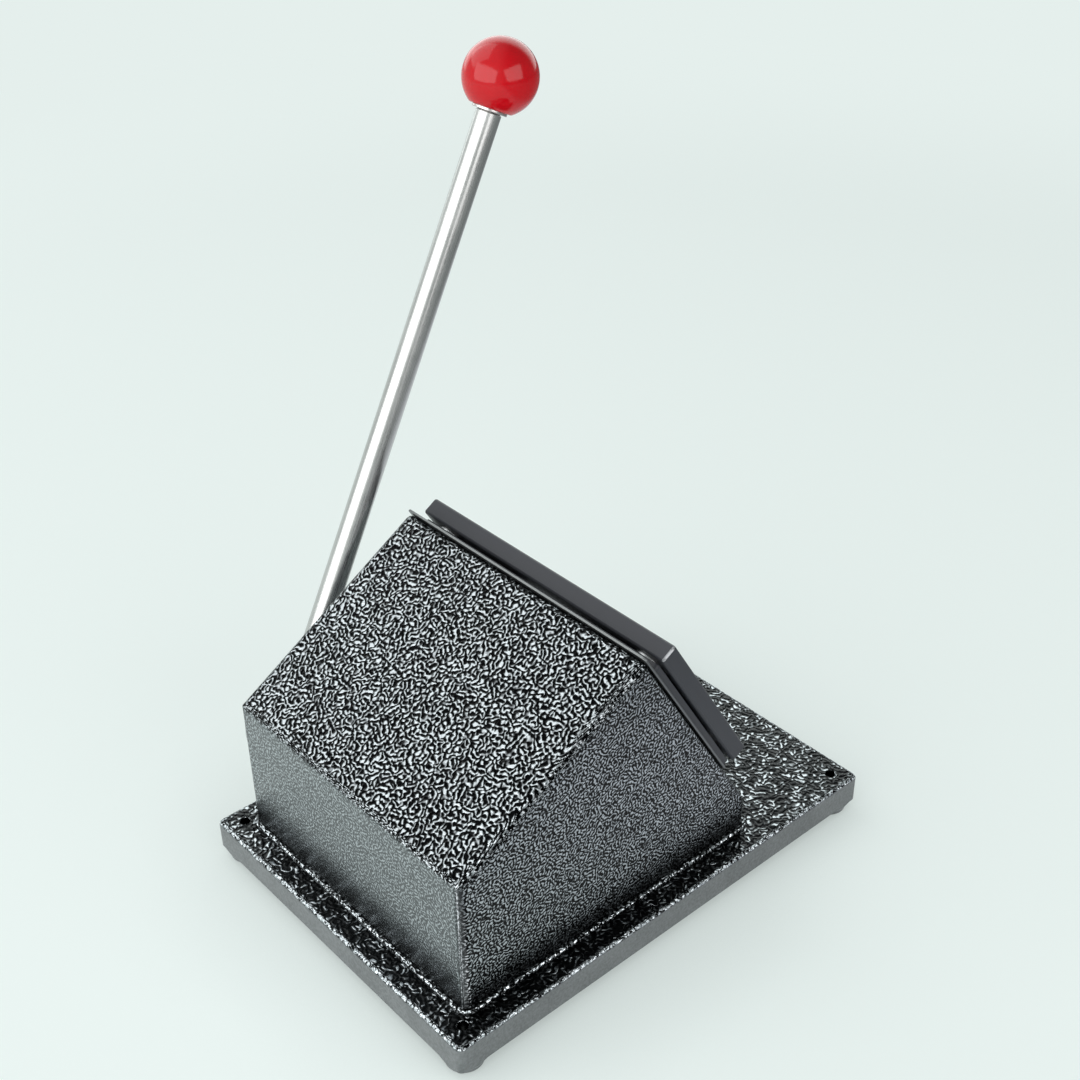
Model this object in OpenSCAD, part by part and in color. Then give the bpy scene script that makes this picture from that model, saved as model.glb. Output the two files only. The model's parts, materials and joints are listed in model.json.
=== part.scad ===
// Lever die cutter for round badge blanks. A cast housing stands on a footed base and carries a
// slanted die set with a paper slot. A side lever turns a cam shaft that pushes a punch through it.
// Frame: +Z up, the die faces -Y, the lever stands on the +X side and Z = 0 lies under the feet.

/* [Base] */
// Width of the base, side to side
base_w = 170; // [164:1:200]
// Depth of the base, front to back
base_d = 232; // [224:1:280]
// Height of the base casting without its feet
base_h = 13.5; // [12.5:0.5:20]
// Radius of the base corners in plan
base_corner_r = 3; // [2.5:0.5:8]
// Radius of the rounded top edge of the base
base_edge_r = 2; // [1:0.25:2.25]
// Depth of the hollows under the base
base_relief = 4; // [2:0.5:5]
// Width of the solid rim round the hollows
base_rim = 18; // [16:1:24]
// Width of the ribs between the hollows
base_rib = 12; // [8:1:20]
// Corner radius of the hollows
relief_r = 6; // [3:1:10]

/* [Feet] */
// Height of the base's underside above the floor
foot_h = 5.5; // [4.5:0.5:8]
// Diameter of a cast foot where it meets its rubber pad
foot_d = 16; // [15:0.5:18]
// Radius of the hollow flare from a cast foot into the base
foot_flare = 5; // [4.5:0.5:8]
// Height of a rubber pad below its cast foot
pad_h = 1.5; // [1:0.25:2.5]
// Diameter of a rubber pad
tread_d = 14; // [13:0.5:15]
// Chamfer round the tread of a rubber pad
tread_chamfer = 0.5; // [0.25:0.25:0.75]
// Diameter of the plug that holds a rubber pad in its foot
pad_plug_d = 10; // [8:0.5:11]
// Height of the plug that holds a rubber pad in its foot
pad_plug_h = 5; // [3:0.5:8]
// Diameter of the hole for a bench bolt through base and pad
bench_hole_d = 4.5; // [3.5:0.1:6]
// Distance of each bench hole from the two edges of its corner
bench_hole_inset = 9; // [8:0.5:12]

/* [Housing] */
// Width of the housing
house_w = 146; // [142:1:150]
// Gap between the back edge of the base and the back wall
house_back_gap = 12.6; // [6:0.2:20]
// Height of the back wall
house_back_h = 65.5; // [60:0.5:80]
// Level distance from the back wall to the ridge
ridge_setback = 92.9; // [88:0.1:100]
// Pitch of the roof, which is also the tilt of the punch
tilt = 31; // [29:0.5:33]
// Height of the upright wall below the front slope
front_foot_h = 15; // [12:0.5:19]
// Thickness of the side, back and roof walls
wall = 5; // [4:0.25:6]
// Thickness of the sloping front wall
front_wall = 8; // [7:0.5:10]
// Radius of the outer edges of the casting
edge_r = 4; // [2:0.5:6]
// Width of the lip round the foot of the housing
lip_w = 2; // [1:0.25:4]
// Height of the lip round the foot of the housing
lip_h = 2.2; // [1:0.2:4]

/* [Housing screws] */
// Diameter of the four screws that hold the housing to the base
house_screw_d = 6; // [5:0.5:8]
// Head diameter of the housing screws
house_screw_head_d = 10; // [9:0.5:13]
// Head height of the housing screws
house_screw_head_h = 6; // [4:0.5:7]
// Length of thread in the housing
house_thread = 12; // [8:1:14]
// Diameter of the screw bosses inside the housing
house_boss_d = 16; // [14:0.5:18]
// Material above the end of a screw in its boss
boss_cover = 4; // [2:0.5:6]
// How far a screw boss sinks into the walls beside it
boss_sink = 2; // [1:0.25:3]

/* [Die set] */
// Diameter of the blank that is cut
die_d = 70; // [50:1:72]
// How far the die plate stands out past each side of the housing
die_overhang = 0.5; // [0:0.25:3]
// Length of the die plate down the slope
die_len = 87.3; // [84:0.1:92]
// Thickness of the die plate
die_t = 8; // [6:0.5:12]
// Distance of the die plate's top edge below the ridge
die_drop = 7.7; // [6:0.1:10]
// Length of the straight cutting land in the die
die_land = 3; // [2:0.5:5]
// Radial relief of the die bore beyond the land
die_relief = 1; // [0.5:0.1:2]
// Chamfer round the die plate
die_chamfer = 0.8; // [0.4:0.1:1.5]
// Width of the paper slot
slot = 1.2; // [0.8:0.1:2]
// Thickness of the stripper plate behind the slot
stripper_t = 3; // [2:0.25:4]
// Distance of the stripper plate from the sides of the housing
stripper_inset = 1.5; // [0.5:0.25:4]
// Distance of the stripper plate's top edge below the ridge
stripper_drop = 10; // [8:0.5:11]
// Thickness of the bright guide sheet against the housing
sheet_t = 1; // [0.8:0.1:2]
// How far the guide sheet stands up past the ridge
sheet_proud = 1; // [0:0.25:2]
// Corner radius of the guide sheet and the stripper plate
sheet_r = 2; // [1:0.5:4]

/* [Die fasteners] */
// Diameter of the die screws
die_screw_d = 6; // [5:0.5:6]
// Head diameter of the countersunk die screws
die_screw_head_d = 12; // [10:0.5:12.5]
// Distance of the die screws from the sides of the housing
die_screw_side = 12; // [11.5:0.5:14]
// Distance of the die screws from the top and bottom edges of the die plate
die_screw_edge = 10; // [8.5:0.5:11]
// Length of thread in the housing below the front face
die_thread = 14; // [12:1:16]
// Diameter of the bosses for the die screws
die_boss_d = 15; // [14.5:0.5:16]
// Outer diameter of the spacers that set the slot
spacer_d = 12; // [10:0.5:13]
// Diameter of the two dowel pins
dowel_d = 5; // [4:0.5:6]
// Distance between the dowel pins along the slope
dowel_pitch = 42; // [38:1:46]
// Depth of the dowel pins in the front wall
dowel_depth = 5; // [4:0.5:6]

/* [Punch and guide] */
// Outer diameter of the guide ring in the front wall
guide_d = 80; // [76:1:82]
// Outer diameter of the guide ring's flange
guide_flange_d = 88; // [84:1:90]
// Thickness of the guide ring's flange behind the front wall
guide_flange_t = 8; // [5:0.5:12]
// Distance of the resting punch face behind the slot
punch_setback = 0.5; // [0.2:0.1:1]
// Diameter of the stop flange at the back of the punch
punch_flange_d = 78; // [75:0.5:80]
// Thickness of the stop flange at the back of the punch
punch_flange_t = 6; // [4:0.5:8]
// Diameter of the column between punch and crosshead
column_d = 44; // [36:1:52]
// Length of the column between punch and crosshead
column_len = 26.5; // [22:0.5:30]
// Diameter of the bolt through crosshead, column and punch
ram_bolt_d = 12; // [8:1:12]
// Head diameter of the ram bolt
ram_bolt_head_d = 18; // [14:0.5:18]
// Head height of the ram bolt
ram_bolt_head_h = 12; // [8:0.5:13]
// Length of the ram bolt's thread in the punch
ram_bolt_thread = 16; // [12:1:20]

/* [Crosshead] */
// Thickness of the crosshead
crosshead_t = 16; // [14:0.5:20]
// Width of the crosshead's arms
crosshead_arm_w = 21; // [19:0.5:23]
// Diameter of the crosshead's middle disc
crosshead_disc_d = 56; // [48:1:66]
// Length of the crosshead's boss behind its disc
crosshead_boss_len = 8.85; // [6:0.05:12]
// Diameter of the boss and of the hardened pad that the cam pushes
pad_d = 38; // [36:1:42]
// Thickness of the hardened pad
pad_t = 6; // [4:0.5:8]
// Diameter of the two pad screws
pad_screw_d = 4; // [3:0.5:5]
// Head diameter of the pad screws
pad_screw_head_d = 7.5; // [6:0.5:8]
// Distance of the pad screws from the middle
pad_screw_r = 14; // [13.5:0.25:14.5]
// Length of the pad screws' thread in the crosshead
pad_screw_thread = 8; // [6:1:10]

/* [Guide posts and springs] */
// Distance of the guide posts from the sides of the housing
post_side = 17; // [17:0.25:18]
// Diameter of the guide posts
post_d = 12; // [10:0.5:12]
// Diameter of the threaded ends of the guide posts
post_thread_d = 10; // [8:0.5:10]
// Wall of the bronze bushes in the crosshead
post_bush_t = 1.5; // [1:0.25:2]
// Thickness of the washers that stop the crosshead
post_washer_t = 2; // [1.5:0.25:3]
// Diameter of the washers that stop the crosshead
post_washer_d = 20; // [18:0.5:21]
// Height of the post nuts
post_nut_h = 8; // [6:0.5:9]
// Width across the corners of the post nuts
post_nut_d = 19; // [17:0.5:20]
// Length of thread that shows past the post nuts
post_overhang = 1.5; // [0.5:0.5:2]
// Wire diameter of the return springs
spring_wire = 2.4; // [1.5:0.1:2.6]
// Gap between a post and its spring
spring_gap = 0.8; // [0.5:0.1:1]
// Room round a spring where it passes the guide ring's flange
spring_room = 0.8; // [0.5:0.1:1.5]
// Number of curls of a return spring
spring_turns = 9; // [5:1:11]
// Rise of the closed end curls of a return spring
spring_end_rise = 3; // [2.9:0.1:3.4]

/* [Shaft and cam] */
// Diameter of the cam shaft
shaft_d = 18; // [16:0.5:20]
// Wall of the bronze shaft bushes
bush_t = 3; // [2:0.25:4]
// Diameter of the bearing bosses inside the housing
bearing_boss_d = 34; // [32:1:36]
// Length of the bearing bosses inside the side walls
bearing_boss_len = 14; // [10:1:16]
// Diameter of the bearing boss outside the housing, on the lever's side
outer_boss_d = 32; // [28:1:36]
// Length of the bearing boss outside the housing
outer_boss_len = 3; // [1:0.5:6]
// Thickness of the wall left in front of the blind bearing
blind_wall = 4; // [3:0.25:4.5]
// Radius of the cam at rest
cam_base_r = 18; // [17:0.5:20]
// Travel of the punch for each radian of the lever
cam_rise = 7; // [5:0.25:8]
// Angle through which the lever is pulled
pull_angle = 60; // [40:1:65]
// Angle of spare cam face past the end of the pull
cam_overrun = 6; // [3:1:10]
// Width of the cam
cam_w = 24; // [16:1:28]
// Diameter of the cam's side hub
cam_hub_d = 30; // [28:0.5:34]
// Length of the cam's side hub
cam_hub_len = 14; // [10:1:20]
// Diameter of the pin through the cam's hub and the shaft
cam_pin_d = 6; // [4:0.5:6]
// Thickness of the shaft's retaining ring
ring_t = 1.5; // [1:0.25:2]
// Outer diameter of the retaining ring
ring_d = 26; // [24:0.5:28]
// Depth of the retaining ring's groove
ring_depth = 0.8; // [0.5:0.1:1]

/* [Lever] */
// Lean of the lever towards the user at rest
lever_lean = 27; // [20:0.5:32]
// Distance from the shaft to the middle of the knob
lever_len = 299.5; // [220:0.5:340]
// Diameter of the lever rod
rod_d = 11; // [10:0.5:12]
// Diameter of the rod's threaded foot
rod_thread_d = 10; // [8:0.5:10]
// Depth of the rod's foot past the middle of the shaft
rod_depth = 5; // [2:0.5:6]
// Diameter of the lever hub
hub_d = 28; // [27:0.5:34]
// Length of the lever hub
hub_len = 24; // [22:1:30]
// Chamfer on the ends of the lever hub
hub_chamfer = 1.5; // [0.5:0.25:3]
// Depth of the flat that seats the lock nut
hub_flat = 3; // [2:0.25:3.5]
// Height of the lock nut on the rod
lock_nut_h = 6; // [4:0.5:8]
// Width across the corners of the lock nut
lock_nut_d = 19; // [18:0.5:22]
// Thickness of the thrust washer between housing and hub
thrust_t = 2; // [1:0.25:3]
// Diameter of the thrust washer
thrust_d = 26; // [24:0.5:28]
// Thickness of the washer on the end of the shaft
end_washer_t = 2; // [1:0.25:3]
// Diameter of the washer on the end of the shaft
end_washer_d = 24; // [20:0.5:24]
// Diameter of the screw in the end of the shaft
end_screw_d = 6; // [5:0.5:8]
// Length of the end screw's thread in the shaft
end_screw_thread = 5.5; // [4:0.25:5.75]

/* [Knob] */
// Diameter of the ball knob
knob_d = 32; // [25:0.5:40]
// Diameter of the flat under the knob
knob_flat_d = 18; // [16:0.5:20]
// Outer diameter of the brass insert in the knob
insert_d = 12; // [11:0.5:14]
// Length of the brass insert in the knob
insert_len = 16; // [10:0.5:16]
// Diameter of the insert's collar under the knob
insert_collar_d = 15; // [14.5:0.5:16]
// Height of the insert's collar under the knob
insert_collar_h = 1.2; // [0.6:0.2:3]
// Diameter of the rod's tip in the insert
rod_tip_d = 8; // [6:0.5:9]

/* [Fits] */
// Radial clearance of sliding and turning pieces
run_clear = 0.05; // [0.02:0.01:0.1]
// Radial clearance of pieces that are pressed, screwed or pinned together
fit_clear = 0.03; // [0.02:0.01:0.08]
// Radial clearance of a screw's plain hole
screw_clear = 0.3; // [0.2:0.05:0.5]
// Gap between resting faces of pieces that move apart
rest_gap = 0.15; // [0.1:0.05:0.3]
// Edge break on turned pieces
edge_break = 0.6; // [0.3:0.1:1]

/* [Hidden] */
$fn = 64;
// Facets of the rounded casting and of the spring wire
blend_fn = 48;
wire_sides = 6;
rings_per_curl = 8;
// Overlap that makes cuts run clear of a face
cut = 1;
// Depth and width of a hexagon socket as a share of its screw's head
socket_share = 0.55;

cast_black = [0.13, 0.13, 0.14];
plate_grey = [0.29, 0.31, 0.32];
bright_steel = [0.78, 0.79, 0.80];
tool_steel = [0.55, 0.56, 0.58];
bronze = [0.72, 0.52, 0.28];
rubber_black = [0.06, 0.06, 0.06];
knob_red = [0.82, 0.08, 0.11];
screw_black = [0.16, 0.16, 0.17];

// Places on the base and the housing
base_top = foot_h + base_h;
hole_x = base_w / 2 - bench_hole_inset;
hole_y = base_d / 2 - bench_hole_inset;
half_w = house_w / 2;
die_w = house_w + 2 * die_overhang;
die_screw_x = half_w - die_screw_side;
post_pitch = house_w - 2 * post_side;
back_y = base_d / 2 - house_back_gap;
ridge_y = back_y - ridge_setback;
ridge_z = base_top + house_back_h + ridge_setback * tan(tilt);
slope_foot_z = base_top + front_foot_h;
front_y = ridge_y - (ridge_z - slope_foot_z) * tan(tilt);
house_screw_wall = wall - boss_sink + house_boss_d / 2;
house_screw_x = half_w - house_screw_wall;
house_screw_back = back_y - house_screw_wall;
house_screw_front = front_y + house_screw_wall;
house_screw_seat = foot_h + house_screw_head_h + cut;

// Places across the slope: heights count outward from the sloping front face of the housing
stack_len = die_drop + die_len;
die_mid = die_drop + die_len / 2;
stripper_n = sheet_t;
slot_n = stripper_n + stripper_t;
die_n = slot_n + slot;
die_face_n = die_n + die_t;
countersink_h = (die_screw_head_d - die_screw_d) / 2;
screw_rows = [die_drop + die_screw_edge, stack_len - die_screw_edge];

// Places along the punch axis, from the slot back to the shaft
stroke = cam_rise * pull_angle * PI / 180;
punch_face_n = slot_n - punch_setback;
guide_back_n = -front_wall - guide_flange_t;
punch_stop_n = guide_back_n - stroke - rest_gap;
punch_back_n = punch_stop_n - punch_flange_t;
column_back_n = punch_back_n - column_len;
crosshead_back_n = column_back_n - crosshead_t;
boss_back_n = crosshead_back_n - crosshead_boss_len;
pad_back_n = boss_back_n - pad_t;
shaft_n = pad_back_n - rest_gap - cam_base_r;
shaft_y = ridge_y - die_mid * sin(tilt) - shaft_n * cos(tilt);
shaft_z = ridge_z - die_mid * cos(tilt) + shaft_n * sin(tilt);
post_shoulder_n = crosshead_back_n - rest_gap;
post_end_n = post_shoulder_n - post_washer_t - post_nut_h - post_overhang;

// Places along the shaft
bush_d = shaft_d + 2 * run_clear + 2 * bush_t;
boss_x = half_w - wall - bearing_boss_len;
blind_x = half_w - blind_wall;
bearing_x = half_w + outer_boss_len;
hub_x = bearing_x + thrust_t;
hub_end_x = hub_x + hub_len;
lever_x = hub_x + hub_len / 2;
shaft_start_x = -blind_x + rest_gap;
shaft_end_x = hub_end_x - rest_gap;
ring_x = boss_x - rest_gap - ring_t;

// Places along the lever, from the shaft outward
hub_seat = hub_d / 2 - hub_flat;
rod_shoulder = hub_seat + lock_nut_h + 2;
knob_flat = lever_len - sqrt(pow(knob_d / 2, 2) - pow(knob_flat_d / 2, 2));
insert_foot = knob_flat - insert_collar_h;
insert_top = knob_flat + insert_len;

// Return spring: closed end curls and even curls between them
spring_r = post_d / 2 + spring_gap + spring_wire / 2;
spring_d = 2 * spring_r + spring_wire;
spring_low = column_back_n + spring_wire / 2 + rest_gap;
spring_high = -front_wall - spring_wire / 2 - rest_gap;
spring_span = spring_high - spring_low;
spring_mid_rise = (spring_span - 2 * spring_end_rise) / (spring_turns - 2);

function curl_height(t) =
    t < 1 ? spring_end_rise * t
    : t > spring_turns - 1 ? spring_span - spring_end_rise * (spring_turns - t)
    : spring_end_rise + spring_mid_rise * (t - 1);
function curl_point(t) = [spring_r * cos(360 * t), spring_r * sin(360 * t), curl_height(t)];
function unit(v) = v / norm(v);
function curl_ring(t) =
    let (
        step = 0.01,
        ahead = unit(curl_point(t + step) - curl_point(t - step)),
        out = [cos(360 * t), sin(360 * t), 0],
        side = cross(ahead, out)
    )
    [for (k = [0 : wire_sides - 1])
        let (a = 360 * k / wire_sides)
        curl_point(t) + spring_wire / 2 * (cos(a) * out + sin(a) * side)];
spring_steps = spring_turns * rings_per_curl;
spring_points = [for (i = [0 : spring_steps]) curl_point(i / rings_per_curl)];
spring_self_gap = min([
    for (i = [0 : spring_steps], j = [i + rings_per_curl / 2 : 1 : spring_steps])
        norm(spring_points[i] - spring_points[j]) - spring_wire
]);
echo(least_spring_self_gap = spring_self_gap);

// Cam outline: its face rises evenly with the angle, so a flat pad follows the lever at one ratio
function cam_reach(a) = cam_base_r + cam_rise * a * PI / 180;
function cam_point(a) = cam_reach(a) * [sin(a), cos(a)] + cam_rise * [cos(a), -sin(a)];

// Helpers

// Puts children in the frame of the front slope: x across, y up the slope, z outward
module on_slope() {
    translate([0, ridge_y, ridge_z]) rotate([90 - tilt, 0, 0]) children();
}

// Puts children on the punch axis, at a height from the front slope
module on_axis(n) {
    on_slope() translate([0, -die_mid, n]) children();
}

// Puts children at the shaft, turned with the slope, with z along the shaft and x up the slope
module on_shaft(x) {
    translate([x, shaft_y, shaft_z]) rotate([90 - tilt, 0, 0]) rotate([90, 0, 90]) children();
}

// Puts children at the shaft, with z along the shaft
module along_shaft(x) {
    translate([x, shaft_y, shaft_z]) rotate([0, 90, 0]) children();
}

// Puts children on the lever's line, with z from the shaft to the knob
module on_lever() {
    translate([lever_x, shaft_y, shaft_z]) rotate([lever_lean, 0, 0]) children();
}

module at_bench_holes() {
    for (x = [-hole_x, hole_x], y = [-hole_y, hole_y])
        translate([x, y, 0]) children();
}

module at_house_screws() {
    for (x = [-house_screw_x, house_screw_x], y = [house_screw_front, house_screw_back])
        translate([x, y, 0]) children();
}

module at_die_screws(n) {
    on_slope()
        for (x = [-die_screw_x, die_screw_x], row = screw_rows)
            translate([x, -row, n]) children();
}

module at_dowels(n) {
    on_slope()
        for (side = [-1, 1])
            translate([side * die_screw_x, -die_mid - side * dowel_pitch / 2, n]) children();
}

module at_posts(n) {
    on_axis(n)
        for (side = [-1, 1])
            translate([side * post_pitch / 2, 0, 0]) children();
}

module at_pad_screws(n) {
    on_axis(n)
        for (side = [-1, 1])
            translate([0, side * pad_screw_r, 0]) children();
}

// Flat rectangle with round corners, centred
module round_rect(w, d, r) {
    square([w - 2 * r, d], center = true);
    square([w, d - 2 * r], center = true);
    for (x = [-1, 1], y = [-1, 1])
        translate([x * (w / 2 - r), y * (d / 2 - r)]) circle(r);
}

module ring(outer_d, inner_d, h) {
    difference() {
        cylinder(d = outer_d, h = h);
        translate([0, 0, -cut]) cylinder(d = inner_d, h = h + 2 * cut);
    }
}

// Rod with a small chamfer at both ends
module turned_rod(d, h) {
    rotate_extrude() polygon([
        [0, 0], [d / 2 - edge_break, 0], [d / 2, edge_break],
        [d / 2, h - edge_break], [d / 2 - edge_break, h], [0, h]
    ]);
}

// Socket screw with its head's underside at z = 0 and its thread along -z
module socket_screw(d, len, head_d, head_h) {
    translate([0, 0, -len]) cylinder(d = d, h = len);
    difference() {
        cylinder(d = head_d, h = head_h);
        translate([0, 0, head_h * (1 - socket_share)])
            cylinder(d = head_d * socket_share, h = head_h, $fn = 6);
    }
}

// Countersunk socket screw with its flat head at z = 0 and its thread along -z
module flat_screw(d, len, head_d) {
    head_h = (head_d - d) / 2;
    difference() {
        union() {
            translate([0, 0, -len]) cylinder(d = d, h = len);
            translate([0, 0, -head_h]) cylinder(d1 = d, d2 = head_d, h = head_h);
        }
        translate([0, 0, -head_h]) cylinder(d = head_d * socket_share, h = head_h + cut, $fn = 6);
    }
}

// Hole for a countersunk screw, entering at z = 0 along -z
module flat_screw_hole(d, len, head_d) {
    head_h = (head_d - d) / 2;
    translate([0, 0, -len]) cylinder(d = d + 2 * screw_clear, h = len + cut);
    translate([0, 0, -head_h])
        cylinder(d1 = d + 2 * fit_clear, d2 = head_d + 2 * fit_clear, h = head_h);
}

module nut(across, bore, h) {
    difference() {
        cylinder(d = across, h = h, $fn = 6);
        translate([0, 0, -cut]) cylinder(d = bore, h = h + 2 * cut, $fn = 48);
    }
}

// Base

module base_corner() {
    rotate_extrude($fn = blend_fn) intersection() {
        square([base_corner_r, base_h]);
        union() {
            square([base_corner_r - base_edge_r, base_h]);
            square([base_corner_r, base_h - base_edge_r]);
            translate([base_corner_r - base_edge_r, base_h - base_edge_r]) circle(base_edge_r);
        }
    }
}

// Four hollows between rim and ribs, which leave the screw pads solid
module base_hollows() {
    hollow_w = (base_w - 2 * base_rim - base_rib) / 2;
    hollow_d = (base_d - 2 * base_rim - base_rib) / 2;
    linear_extrude(base_relief + cut) difference() {
        for (x = [-1, 1], y = [-1, 1])
            translate([x * (hollow_w + base_rib) / 2, y * (hollow_d + base_rib) / 2])
                round_rect(hollow_w, hollow_d, relief_r);
        at_house_screws() circle(house_boss_d / 2 + relief_r / 2);
    }
}

module at_base_corners() {
    for (x = [-1, 1], y = [-1, 1])
        translate([x * (base_w / 2 - base_corner_r), y * (base_d / 2 - base_corner_r), 0]) children();
}

// Feet that flare into the base, cut off flush with its sides
module cast_feet() {
    flare_r = foot_d / 2 + foot_flare;
    translate([0, 0, pad_h]) intersection() {
        linear_extrude(foot_flare) hull() at_base_corners() circle(base_corner_r, $fn = blend_fn);
        at_bench_holes() rotate_extrude() difference() {
            square([flare_r, foot_flare]);
            translate([flare_r, 0]) circle(foot_flare);
        }
    }
}

module base_plate() {
    color(cast_black) difference() {
        union() {
            translate([0, 0, foot_h]) hull() at_base_corners() base_corner();
            cast_feet();
        }
        translate([0, 0, foot_h - cut]) base_hollows();
        at_bench_holes() {
            cylinder(d = bench_hole_d, h = base_top + cut);
            cylinder(d = pad_plug_d + 2 * fit_clear, h = pad_h + pad_plug_h + fit_clear);
        }
        at_house_screws() {
            cylinder(d = house_screw_d + 2 * screw_clear, h = base_top + cut);
            cylinder(d = house_screw_head_d + 2 * screw_clear, h = house_screw_seat);
        }
    }
}

module rubber_feet() {
    bore = bench_hole_d / 2;
    tread = tread_d / 2;
    plug = pad_plug_d / 2;
    plug_top = pad_h + pad_plug_h;
    color(rubber_black) at_bench_holes() rotate_extrude() polygon([
        [bore, 0], [tread - tread_chamfer, 0], [tread, tread_chamfer], [tread, pad_h],
        [plug, pad_h], [plug, plug_top], [bore, plug_top]
    ]);
}

// Housing

// Everything behind a height from the front slope and below a depth under the roof
module behind_slope(n, depth) {
    reach = 2 * base_d;
    on_slope() translate([-reach / 2, -reach - depth, -reach + n]) cube(reach);
}

// Side view of the casting, which rounds the edge between back wall and roof
module house_side() {
    reach = 2 * base_d;
    mid_y = back_y - edge_r;
    mid_z = ridge_z - (ridge_setback - edge_r) * tan(tilt) - edge_r / cos(tilt);
    top = [mid_y + reach * sin(tilt), mid_z + reach * cos(tilt)];
    rotate([90, 0, 90]) linear_extrude(house_w + 2 * cut, center = true) {
        translate([mid_y, mid_z]) circle(edge_r);
        polygon([
            [back_y, base_top - cut], [back_y, mid_z], [mid_y, mid_z], top,
            [front_y - cut, top[1]], [front_y - cut, base_top - cut]
        ]);
    }
}

// Round-edged casting: upright walls, roof and front slope, and the edge at the back
module house_outside() {
    reach = 2 * base_d;
    intersection() {
        translate([0, (back_y + front_y) / 2, base_top])
            linear_extrude(ridge_z) round_rect(house_w, back_y - front_y, edge_r);
        on_slope() translate([0, -reach / 2, -reach])
            linear_extrude(reach) round_rect(house_w, reach, edge_r);
        house_side();
    }
}

module house_lip() {
    lip_len = back_y - front_y + 2 * lip_w;
    translate([0, (back_y + front_y) / 2, base_top])
        linear_extrude(lip_h) round_rect(house_w + 2 * lip_w, lip_len, edge_r + lip_w);
}

module house_inside() {
    intersection() {
        behind_slope(-front_wall, wall);
        translate([-half_w + wall, front_y + wall, base_top - cut])
            cube([house_w - 2 * wall, back_y - front_y - 2 * wall, ridge_z]);
    }
}

module house_bosses() {
    for (side = [-1, 1])
        along_shaft(side * (boss_x + half_w - wall + cut) / 2)
            cylinder(d = bearing_boss_d, h = bearing_boss_len + cut, center = true);
    along_shaft(half_w - cut) cylinder(d = outer_boss_d, h = outer_boss_len + cut);
    at_house_screws()
        translate([0, 0, base_top]) cylinder(d = house_boss_d, h = house_thread + boss_cover);
    at_die_screws(-die_thread - boss_cover)
        cylinder(d = die_boss_d, h = die_thread + boss_cover - front_wall + cut);
}

module housing() {
    color(cast_black) difference() {
        union() {
            difference() {
                union() {
                    house_outside();
                    house_lip();
                }
                house_inside();
            }
            house_bosses();
        }
        along_shaft(-blind_x)
            cylinder(d = bush_d + 2 * fit_clear, h = 2 * bearing_x);
        on_axis(-front_wall - cut) cylinder(d = guide_d + 2 * fit_clear, h = front_wall + 2 * cut);
        at_posts(-front_wall - cut)
            cylinder(d = post_thread_d + 2 * fit_clear, h = front_wall + 2 * cut);
        at_die_screws(-die_thread)
            cylinder(d = die_screw_d + 2 * fit_clear, h = die_thread + cut);
        at_dowels(-dowel_depth) cylinder(d = dowel_d + 2 * fit_clear, h = dowel_depth + cut);
        at_house_screws() translate([0, 0, base_top - cut])
            cylinder(d = house_screw_d + 2 * fit_clear, h = house_thread + cut);
    }
}

module housing_screws() {
    len = base_top - house_screw_seat + house_thread - rest_gap;
    color(screw_black) at_house_screws() translate([0, 0, house_screw_seat]) mirror([0, 0, 1])
        socket_screw(house_screw_d, len, house_screw_head_d, house_screw_head_h);
}

// Die set

module guide_sheet() {
    len = stack_len + sheet_proud;
    color(bright_steel) difference() {
        on_slope() translate([0, sheet_proud - len / 2, 0])
            linear_extrude(sheet_t) round_rect(house_w, len, sheet_r);
        on_axis(-cut) cylinder(d = die_d + 2 * screw_clear, h = sheet_t + 2 * cut);
        at_die_screws(-cut) cylinder(d = die_screw_d + 2 * screw_clear, h = sheet_t + 2 * cut);
        at_dowels(-cut) cylinder(d = dowel_d + 2 * fit_clear, h = sheet_t + 2 * cut);
    }
}

module stripper_plate() {
    len = stack_len - stripper_drop;
    color(plate_grey) difference() {
        on_slope() translate([0, -stripper_drop - len / 2, stripper_n])
            linear_extrude(stripper_t) round_rect(house_w - 2 * stripper_inset, len, sheet_r);
        on_axis(0) cylinder(d = die_d + 2 * run_clear, h = die_n);
        at_die_screws(0) cylinder(d = die_screw_d + 2 * screw_clear, h = die_n);
        at_dowels(0) cylinder(d = dowel_d + 2 * fit_clear, h = die_n);
    }
}

module slot_spacers() {
    color(bright_steel) at_die_screws(slot_n) ring(spacer_d, die_screw_d + 2 * screw_clear, slot);
}

// Die block with a chamfer all round
module die_blank() {
    on_slope() translate([0, -die_mid, die_n]) hull() {
        translate([-die_w / 2, -die_len / 2 + die_chamfer, die_chamfer])
            cube([die_w, die_len - 2 * die_chamfer, die_t - 2 * die_chamfer]);
        translate([-die_w / 2 + die_chamfer, -die_len / 2, die_chamfer])
            cube([die_w - 2 * die_chamfer, die_len, die_t - 2 * die_chamfer]);
        translate([-die_w / 2 + die_chamfer, -die_len / 2 + die_chamfer, 0])
            cube([die_w - 2 * die_chamfer, die_len - 2 * die_chamfer, die_t]);
    }
}

module die_plate() {
    color(plate_grey) difference() {
        die_blank();
        on_axis(die_n - cut) cylinder(d = die_d + 2 * run_clear, h = die_t + 2 * cut);
        on_axis(die_n + die_land) cylinder(d = die_d + 2 * die_relief, h = die_t);
        at_die_screws(die_face_n) flat_screw_hole(die_screw_d, die_t + cut, die_screw_head_d);
        at_dowels(die_n - cut) cylinder(d = dowel_d + 2 * fit_clear, h = die_t + 2 * cut);
    }
}

module die_screws() {
    color(screw_black) at_die_screws(die_face_n)
        flat_screw(die_screw_d, die_face_n + die_thread - rest_gap, die_screw_head_d);
}

module dowel_pins() {
    color(bright_steel) at_dowels(-dowel_depth + rest_gap)
        turned_rod(dowel_d, die_face_n + dowel_depth - 2 * rest_gap);
}

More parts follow.
